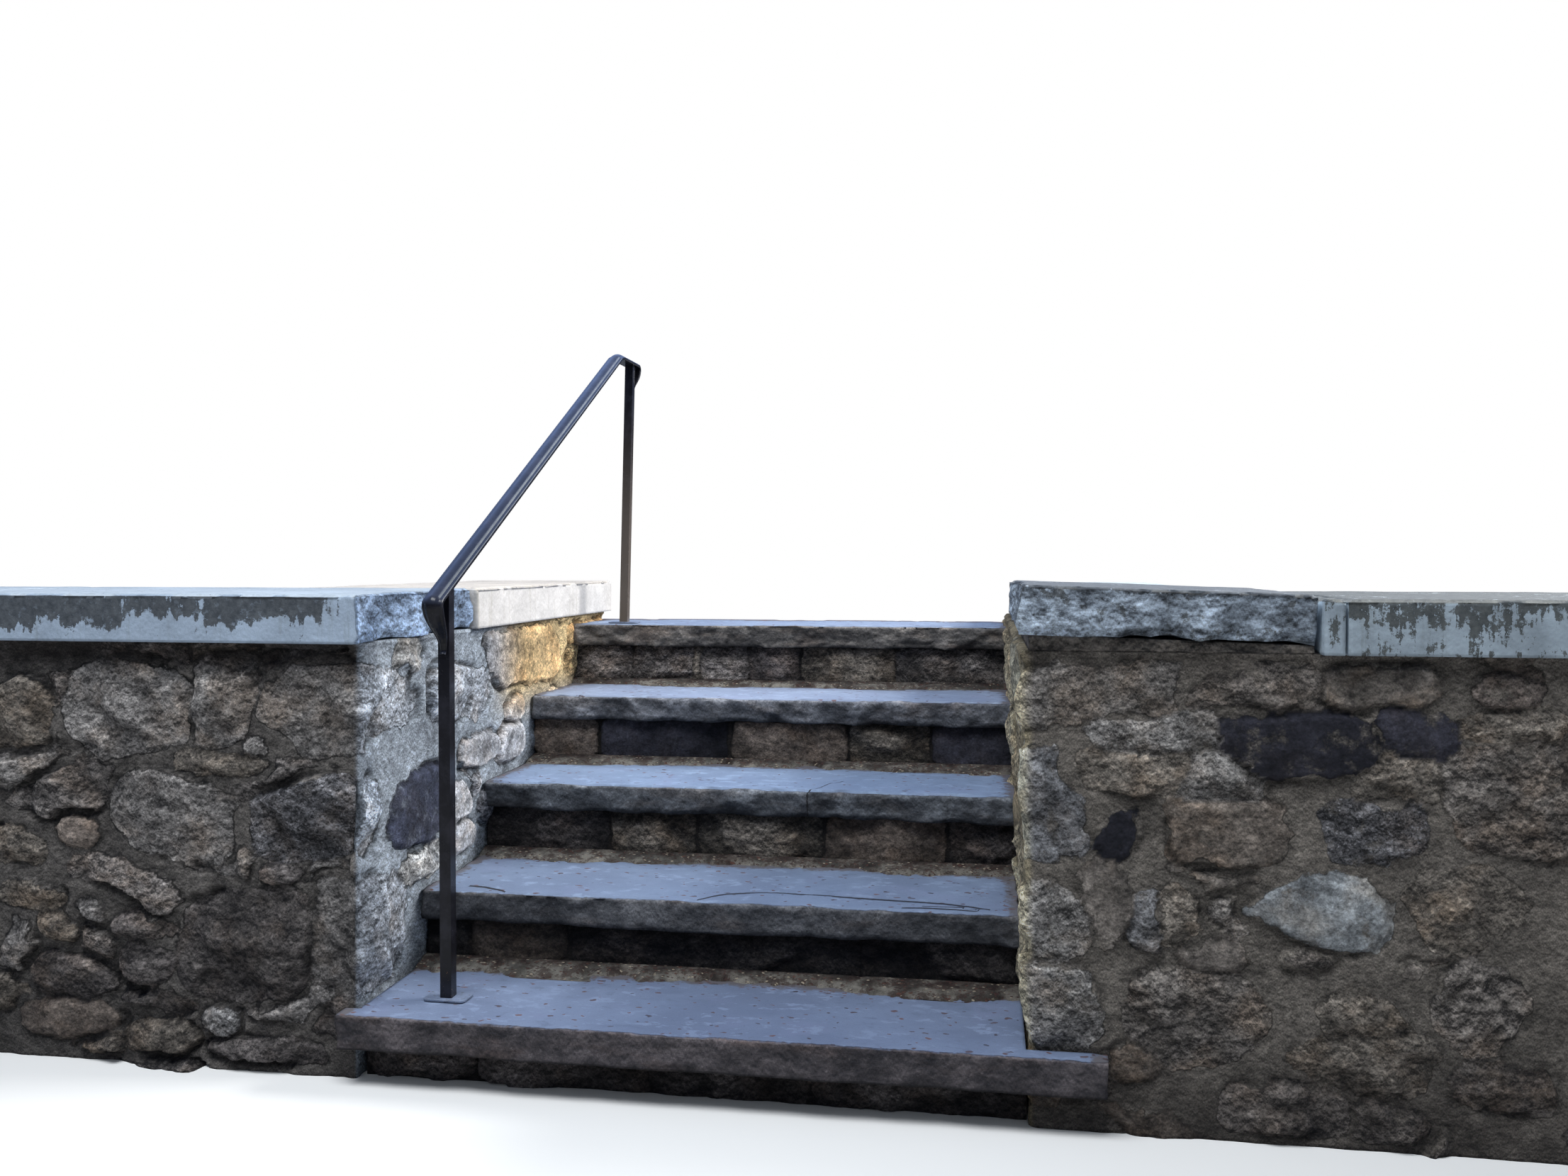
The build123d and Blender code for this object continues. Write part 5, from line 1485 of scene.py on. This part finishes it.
def make_strip(number, settings, material):
    """The sloping fillet of mortar and grit along the back of a tread."""
    low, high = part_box(f"mortar_strip_{number}")
    step = settings.seen_step
    xs = spaced(low.x, high.x, step)
    ys = spaced(low.y, high.y + 0.004, step * 0.8)
    zs = np.array([low.z - 0.003, high.z])
    points, faces = block_shell(xs, ys, zs)
    start = points.copy()
    seed = settings.seed * 5 + number
    share = (start[:, 1] - low.y) / (high.y - low.y)
    plan = start * np.array([1.0, 1.0, 0.0])
    lumps = roughness(plan, 0.035, seed, 5, 0.6)
    edge = 0.34 + 0.26 * roughness(plan * np.array([1.0, 0.0, 0.0]), 0.12, seed + 1, 5, 0.7)
    slope = (high.z - low.z) * np.clip((share - edge) / (1 - edge), 0, 1) ** 0.8
    bank = ease(share, edge - 0.06, edge + 0.10)
    top = low.z - 0.0025 + bank * (0.0035 + slope) + 0.0022 * lumps * bank
    points[:, 2] = np.where(start[:, 2] > high.z - EDGE, np.minimum(top, high.z), low.z - 0.003)
    dark_end = ease(start[:, 0], 0.10, 0.62) * 0.55
    marks = dict(behind=np.clip(ease(share + 0.25 * lumps, 0.42, 0.85) + dark_end, 0, 1))
    finish_piece(f"strip_{number}_mortar", points, faces, material, marks,
                 (f"mortar_strip_{number}",))


class STEPS_OT_strips(bpy.types.Operator):
    """Spreads the mortar strips along the backs of the treads"""

    bl_idname = "stone_steps.strips"
    bl_label = "Mortar strips"

    def execute(self, context):
        material = sandy_mortar_material(tuple(context.scene.steps_colours.strip_mortar))
        for number in TREADS[1:]:
            make_strip(number, context.scene.steps_mesh, material)
        return {"FINISHED"}


def make_core(settings):
    """The rubble mass behind and under the treads, laid in rough stones where it shows at the back."""
    boxes = [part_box(f"rubble_core_{number}") for number in TREADS]
    low, high = boxes[0][0], boxes[-1][1]
    step = settings.hidden_step * 0.7
    fronts = [box[0].y for box in boxes]
    heads = [box[1].z for box in boxes]
    rear_line = high.y - CORE_REAR_INSET
    xs = spaced(low.x, high.x, step)
    ys = np.array(sorted(set(fronts + [low.y + 0.1, high.y - 0.05, rear_line])))
    zs = np.unique(np.concatenate([spaced(0, high.z, step), heads]))
    solid = np.ones((len(xs) - 1, len(ys) - 1, len(zs) - 1), bool)
    for number, head in enumerate(heads[:-1]):
        before = (ys[:-1] + ys[1:]) / 2 < fronts[number + 1]
        above = (zs[:-1] + zs[1:]) / 2 > head
        solid[:, np.outer(before, above)] = False
    points, faces = block_shell(xs, ys, zs, solid)
    laid = lay_stones(points[:, [0, 2]], points, (), CORE_BEDDING, settings.seed + 98)
    rear = points[:, 1] > rear_line - EDGE
    points[:, 1] += np.where(rear, np.clip(laid["height"], -0.03, CORE_REAR_INSET), 0)
    # Painted shade in the mortar between the stones
    wear_and_shade = 0.3 - 0.9 * ease(-laid["inside"], -0.008, 0.004)
    marks = stone_marks(laid, wear_and_shade, np.zeros(len(points)), CORE_BEDDING["mortar_colour"])
    material = fieldstone_material("rubble core", 0.3)
    finish_piece("rubble_core", points, faces, material, marks,
                 tuple(f"rubble_core_{number}" for number in TREADS))


class STEPS_OT_core(bpy.types.Operator):
    """Makes the rubble core behind the treads"""

    bl_idname = "stone_steps.core"
    bl_label = "Rubble core"

    def execute(self, context):
        make_core(context.scene.steps_mesh)
        return {"FINISHED"}


# Copings


def coping_frame(name):
    """The box of a slab as it lay before it was tilted, the tilt and the point that it turned round."""
    low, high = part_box(name)
    if name != TILTED_COPING:
        return np.array(low), np.array(high), 0.0, None
    corners = np.array([vertex.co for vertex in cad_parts[name].data.vertices])
    lowest = corners[corners[:, 2].argmin()]
    pivot = corners[corners[:, 0].argmin()]
    tilt = math.atan2(pivot[2] - lowest[2], lowest[0] - pivot[0])
    length = (high.x - pivot[0]) / math.cos(tilt) - TILTED_THICKNESS * math.tan(tilt)
    return np.array([0.0, low.y, 0.0]), np.array([length, high.y, TILTED_THICKNESS]), tilt, pivot


def coping_sides(start, low, high, left):
    """The sides of a slab: their axis, each point's depth behind them, way inwards and other axis."""
    from_low, from_high = start - low, high - start
    passage, outer = (from_high, from_low) if left else (from_low, from_high)
    inward = -1.0 if left else 1.0
    return {
        "front": (1, from_low[:, 1], 1.0, 0),
        "back": (1, from_high[:, 1], -1.0, 0),
        "passage": (0, passage[:, 0], inward, 1),
        "outer": (0, outer[:, 0], -inward, 1),
    }


def coping_stain(name, start, low, high, shading, seed):
    """Where a slab is stained, above 0, and how its front is shaded."""
    kind = COPINGS[name]["stain"]
    level = (start[:, 2] - low[2]) / (high[2] - low[2])
    on_top = start[:, 2] - low[2] > high[2] - low[2] - EDGE
    front = start[:, 1] < low[1] + 0.001
    wander = roughness(start * np.array([1.0, 1.0, 0.35]), 0.09, seed + 11, 4, 0.55)
    if kind == "ragged":
        bare_end = 0.9 * ease(start[:, 0], high[0] - 0.10, high[0] - 0.05) if name.endswith("corner") else 0.0
        stain = np.where(front, 1.35 * ease(level + 0.30 * wander, 0.22, 0.68) - 0.22 - bare_end, -0.5)
        return np.where(on_top, -0.10 + 0.16 * wander, stain), shading
    if kind == "drips":
        streaks = roughness(start * np.array([1.0, 1.0, 0.12]), 0.030, seed + 13, 3, 0.6)
        clean = 1 - ease(start[:, 0], 0.94, 1.08)
        run = ease(level + 0.45 * wander + 0.40 * streaks, 0.10, 1.0)
        stain = np.where(front, 0.30 + 0.60 * run - 0.35 * clean, -0.4)
        stain = np.where(on_top | (front & (level > 0.95)), 1.35 + 0.5 * wander, stain)
        # The front is darker, less at its clean left end: painted shade with a grey film
        return stain, np.where(front, -0.38 + 0.30 * wander + 0.30 * clean, shading)
    if kind == "light":
        return np.where(on_top, -0.15 + 0.15 * wander, -0.9), shading
    upper_edge = ease(level + 0.1 * wander, 0.82, 1.0)
    return np.where(on_top, 1.35 + 0.5 * wander, -0.35 + 1.5 * upper_edge * front), shading


def make_coping(name, settings, materials):
    """A coping slab with arrises rounded by wear and, where it was broken to size, a rock face."""
    looks = COPINGS[name]
    low, high, tilt, pivot = coping_frame(name)
    step = settings.seen_step * 1.15
    xs = spaced(low[0], high[0], step)
    ys = graded(low[1], high[1], step, step * 1.8, 0.05)
    zs = spaced(low[2], high[2], step * 0.8)
    points, faces = block_shell(xs, ys, zs)
    start = points.copy()
    seed = settings.seed * 3 + sum(ord(letter) for letter in name)
    tall = high[2] - low[2]
    up = start[:, 2] - low[2]
    soft = roughness(start, 0.05, seed, 4, 0.5)
    wear_and_shade, rocky, shading = np.zeros((3, len(points)))
    sides = coping_sides(start, low, high, name.startswith("left"))
    for number, (side, (axis, depth, inward, along)) in enumerate(sides.items()):
        fade = 1 - ease(depth, 0, 0.03)
        if side in looks["rock"]:
            span = (low[along], high[along])
            scoop = scooped_edge(start[:, along], up, span, tall, 0.019, seed + number, 34)
            crags = np.abs(roughness(start, 0.045, seed + 40 + number, 4, 0.55))
            rocky_depth = 0.001 + scoop + 0.0060 * crags + 0.008 * ease(-up, -0.022, 0)
            points[:, axis] += inward * rocky_depth * fade
            points[:, 2] += 0.5 * scoop * (1 - ease(up, 0, tall * 0.4)) * (1 - ease(depth, 0, 0.02))
            on_face = 1 - ease(depth, 0.002, 0.008)
            rocky = np.maximum(rocky, on_face)
            # Painted shade in the scoops and crags of the rock face
            hollow_shade = np.clip(0.4 - 1.2 * scoop / 0.016 + 0.3 * soft - 0.5 * crags, -1, 1)
            shading = np.where(on_face > 0.5, hollow_shade, shading)
        else:
            points[:, axis] += inward * (0.0006 + 0.0006 * (1 + soft)) * fade
        rounding = np.clip(0.010 - depth, 0, None) ** 2 / 0.010 * ease(up, tall - 0.002, tall)
        wear_and_shade = np.maximum(wear_and_shade, rounding * (0.35 + 0.25 * (1 + soft)))
    on_top = up > tall - EDGE
    points[:, 2] -= np.where(on_top, wear_and_shade + 0.0007 * (1 + roughness(start, 0.12, seed + 7, 4)), 0)
    if tilt:
        turned = points.copy()
        turned[:, 0] = pivot[0] + points[:, 0] * math.cos(tilt) + points[:, 2] * math.sin(tilt)
        turned[:, 2] = pivot[2] - points[:, 0] * math.sin(tilt) + points[:, 2] * math.cos(tilt)
        points = turned
    stain, shading = coping_stain(name, start, low, high, shading, seed)
    finish_piece(f"{name}_slab", points, faces, materials[looks["finish"]],
                 dict(stain=stain, rocky=rocky, wear_and_shade=shading), (name,))


def make_bed(settings):
    """The wedge of mortar under the tilted corner slab."""
    low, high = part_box("right_coping_bed")
    corners = np.array([vertex.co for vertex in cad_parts["right_coping_bed"].data.vertices])
    right_head = corners[corners[:, 0] > high.x - 1e-4][:, 2].max()
    xs = spaced(low.x, high.x, settings.seen_step)
    ys = graded(low.y, high.y, 0.006, 0.02, 0.03)
    zs = spaced(low.z, high.z, 0.006)
    points, faces = block_shell(xs, ys, zs)
    share = (points[:, 2] - low.z) / (high.z - low.z)
    head = high.z + (right_head - high.z) * (points[:, 0] - low.x) / (high.x - low.x)
    lumps = roughness(points, 0.025, settings.seed + 61, 4, 0.6)
    points[:, 2] = low.z + share * (head - low.z)
    fade = 1 - ease(points[:, 1], low.y, low.y + 0.03)
    points[:, 1] += (WALL_FRONT - low.y + 0.002 + 0.004 * lumps) * fade
    every = np.ones(len(points))
    marks = dict(stain=-1.0 * every, rocky=every, wear_and_shade=-0.2 * every)
    material = limewash_material("bedding mortar", (0.175, 0.155, 0.138), (0.06, 0.055, 0.05),
                                 stone_colour=(0.11, 0.10, 0.09), cover=0.88)
    finish_piece("right_coping_bed_mortar", points, faces, material, marks,
                 ("right_coping_bed",))


class STEPS_OT_copings(bpy.types.Operator):
    """Lays the coping slabs on the walls"""

    bl_idname = "stone_steps.copings"
    bl_label = "Coping slabs"

    def execute(self, context):
        colours = context.scene.steps_colours
        paint, stain = tuple(colours.limewash), tuple(colours.weather_stain)
        # The shaded finish is the paint darkened by painted shade, with blue painted light on its rock faces;
        # the sunlit finish is the paint warmed and lightened by painted sunlight
        materials = {
            "shaded": limewash_material(
                "stained coping", toned(paint, (0.70, 0.73, 0.77)), toned(stain, (0.64, 0.62, 0.60)),
                stone_colour=(0.20, 0.22, 0.25), cover=0.97, rock_face_light=(1.22, 1.36, 1.60)),
            "drips": limewash_material(
                "dripping coping", toned(paint, (0.78, 0.80, 0.78)), toned(stain, (0.62, 0.60, 0.52)),
                stone_colour=(0.16, 0.17, 0.17), cover=0.90),
            "sunlit": limewash_material(
                "sunlit coping", toned(paint, (1.11, 0.92, 0.77)), stain,
                stone_colour=(0.34, 0.30, 0.25), cover=0.97),
            "bare": limewash_material(
                "rock-faced coping", (0.47, 0.56, 0.68), toned(stain, 0.62),
                stone_colour=(0.20, 0.225, 0.25), cover=0.93),
        }
        for name in COPINGS:
            make_coping(name, context.scene.steps_mesh, materials)
        make_bed(context.scene.steps_mesh)
        return {"FINISHED"}


# Handrail


class STEPS_OT_handrail(bpy.types.Operator):
    """Paints the handrail, its ends and its posts"""

    bl_idname = "stone_steps.handrail"
    bl_label = "Handrail"

    def execute(self, context):
        colour = tuple(context.scene.steps_colours.rail_paint)
        gloss = rail_paint_material("black gloss rail paint", colour, 0.0)
        faded_and_sunlit = rail_paint_material("faded rail paint", colour, 0.75)
        cement = cement_material()
        for name in ("handrail", "lower_tongue", "upper_tongue", "lower_post"):
            paint_node(name, gloss)
        paint_node("upper_post", faded_and_sunlit)
        for name in ("lower_post_patch", "upper_post_patch"):
            paint_node(name, cement)
        return {"FINISHED"}


def paint_node(name, material):
    """Gives a CAD node its material."""
    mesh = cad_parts[name].data
    mesh.materials.clear()
    mesh.materials.append(material)


# Stage


def area_light(name, place, aim, size, watts, colour):
    """A soft rectangular lamp that faces a point."""
    data = bpy.data.lights.new(name, "AREA")
    data.shape = "RECTANGLE"
    data.size, data.size_y = size
    data.energy = watts
    data.color = colour
    lamp = bpy.data.objects.new(name, data)
    lamp.location = place
    heading = np.array(aim) - np.array(place)
    flat = math.hypot(heading[0], heading[1])
    lamp.rotation_euler = (math.atan2(flat, -heading[2]), 0, math.atan2(-heading[0], heading[1]))
    bpy.context.scene.collection.objects.link(lamp)


def make_floor(colour):
    """The plain ground under the steps."""
    mesh = bpy.data.meshes.new("floor")
    corners = [(x * FLOOR_HALF, y * FLOOR_HALF, 0) for x, y in ((-1, -1), (1, -1), (1, 1), (-1, 1))]
    mesh.from_pydata(corners, [], [(0, 1, 2, 3)])
    mesh.materials.append(floor_material(colour))
    floor = bpy.data.objects.new("floor", mesh)
    bpy.context.scene.collection.objects.link(floor)


def background(tree, colour, strength):
    """Light of one colour from all round."""
    inputs = {"Color": with_alpha(colour), "Strength": strength}
    return add_node(tree, "Background", inputs).outputs[0]


def make_surround(strength):
    """Even light from all round, a bluer one with a bright part for gloss, and plain white to the camera."""
    world = bpy.data.worlds.new("pale surround")
    bpy.context.scene.world = world
    world.use_nodes = True
    tree = world.node_tree
    tree.nodes.clear()
    rays = add_node(tree, "LightPath")
    direction = add_node(tree, "TexCoord").outputs["Generated"]
    nearness = add_node(tree, "VectorMath", {0: direction, 1: SHEEN_DIRECTION}, operation="DOT_PRODUCT")
    bright = remap(tree, nearness.outputs["Value"], 0.945, 0.99)
    rising = remap(tree, component(tree, direction, 2), 0.05, 0.75, 0.08, 1.9)
    sheen = background(tree, mix_colour(tree, bright, (0.36, 0.52, 1.0), (0.80, 0.90, 1.0)),
                       linear(tree, bright, 7.0, rising))
    even = background(tree, (0.84, 0.92, 1.0), strength)
    white = background(tree, (1.0, 1.0, 1.0), 1.0)
    lit = add_node(tree, "MixShader", {0: rays.outputs["Is Glossy Ray"], 1: even, 2: sheen}).outputs[0]
    seen = add_node(tree, "MixShader", {0: rays.outputs["Is Camera Ray"], 1: lit, 2: white}).outputs[0]
    tree.links.new(seen, tree.nodes.new("ShaderNodeOutputWorld").inputs["Surface"])


def make_camera():
    """The camera that took the photograph."""
    data = bpy.data.cameras.new("camera")
    data.lens = CAMERA_LENS_MM
    data.sensor_width = CAMERA_FILM_MM
    camera = bpy.data.objects.new("camera", data)
    camera.location = CAMERA_PLACE
    camera.rotation_euler = (math.pi / 2 - CAMERA_DIP, 0, CAMERA_TURN)
    bpy.context.scene.collection.objects.link(camera)
    bpy.context.scene.camera = camera


class STEPS_OT_stage(bpy.types.Operator):
    """Sets the floor, the light and the camera"""

    bl_idname = "stone_steps.stage"
    bl_label = "Stage"

    def execute(self, context):
        stage = context.scene.steps_stage
        make_floor(tuple(stage.floor_colour))
        make_surround(stage.sky_strength)
        area_light("key light", place=(4.6, 1.2, 3.9), aim=(-0.5, 0.0, 0.5), size=(2.6, 2.4),
                   watts=stage.key_watts, colour=(1.0, 0.985, 0.95))
        area_light("top light", place=(-0.4, -2.4, 4.6), aim=(0.0, -0.5, 0.3), size=(3.0, 1.6),
                   watts=stage.top_watts, colour=(0.95, 0.98, 1.0))
        make_camera()
        context.scene.view_settings.view_transform = "Standard"
        return {"FINISHED"}


# Panel and registration


class STEPS_PT_panel(bpy.types.Panel):
    """Lists the pieces of the steps and their settings"""

    bl_idname = "STEPS_PT_panel"
    bl_label = "Stone steps"
    bl_space_type = "VIEW_3D"
    bl_region_type = "UI"
    bl_category = "Stone steps"

    def draw(self, context):
        for settings in (context.scene.steps_mesh, context.scene.steps_colours, context.scene.steps_stage):
            box = self.layout.box()
            for label in settings.bl_rna.properties.keys():
                if label not in ("rna_type", "name"):
                    box.prop(settings, label)
        for operator in OPERATORS:
            self.layout.operator(operator.bl_idname)


SETTINGS = (StepsMeshSettings, StepsColourSettings, StepsStageSettings)
OPERATORS = (STEPS_OT_walls, STEPS_OT_treads, STEPS_OT_risers, STEPS_OT_strips, STEPS_OT_core,
             STEPS_OT_copings, STEPS_OT_handrail, STEPS_OT_stage)


def register():
    for made in (*SETTINGS, *OPERATORS, STEPS_PT_panel):
        bpy.utils.register_class(made)
    bpy.types.Scene.steps_mesh = PointerProperty(type=StepsMeshSettings)
    bpy.types.Scene.steps_colours = PointerProperty(type=StepsColourSettings)
    bpy.types.Scene.steps_stage = PointerProperty(type=StepsStageSettings)


def unregister():
    del bpy.types.Scene.steps_mesh
    del bpy.types.Scene.steps_colours
    del bpy.types.Scene.steps_stage
    for made in reversed((*SETTINGS, *OPERATORS, STEPS_PT_panel)):
        bpy.utils.unregister_class(made)


def main():
    """Makes every piece and the stage."""
    register()
    for operator in OPERATORS:
        area, action = operator.bl_idname.split(".")
        getattr(getattr(bpy.ops, area), action)()


if __name__ == "__main__":
    main()
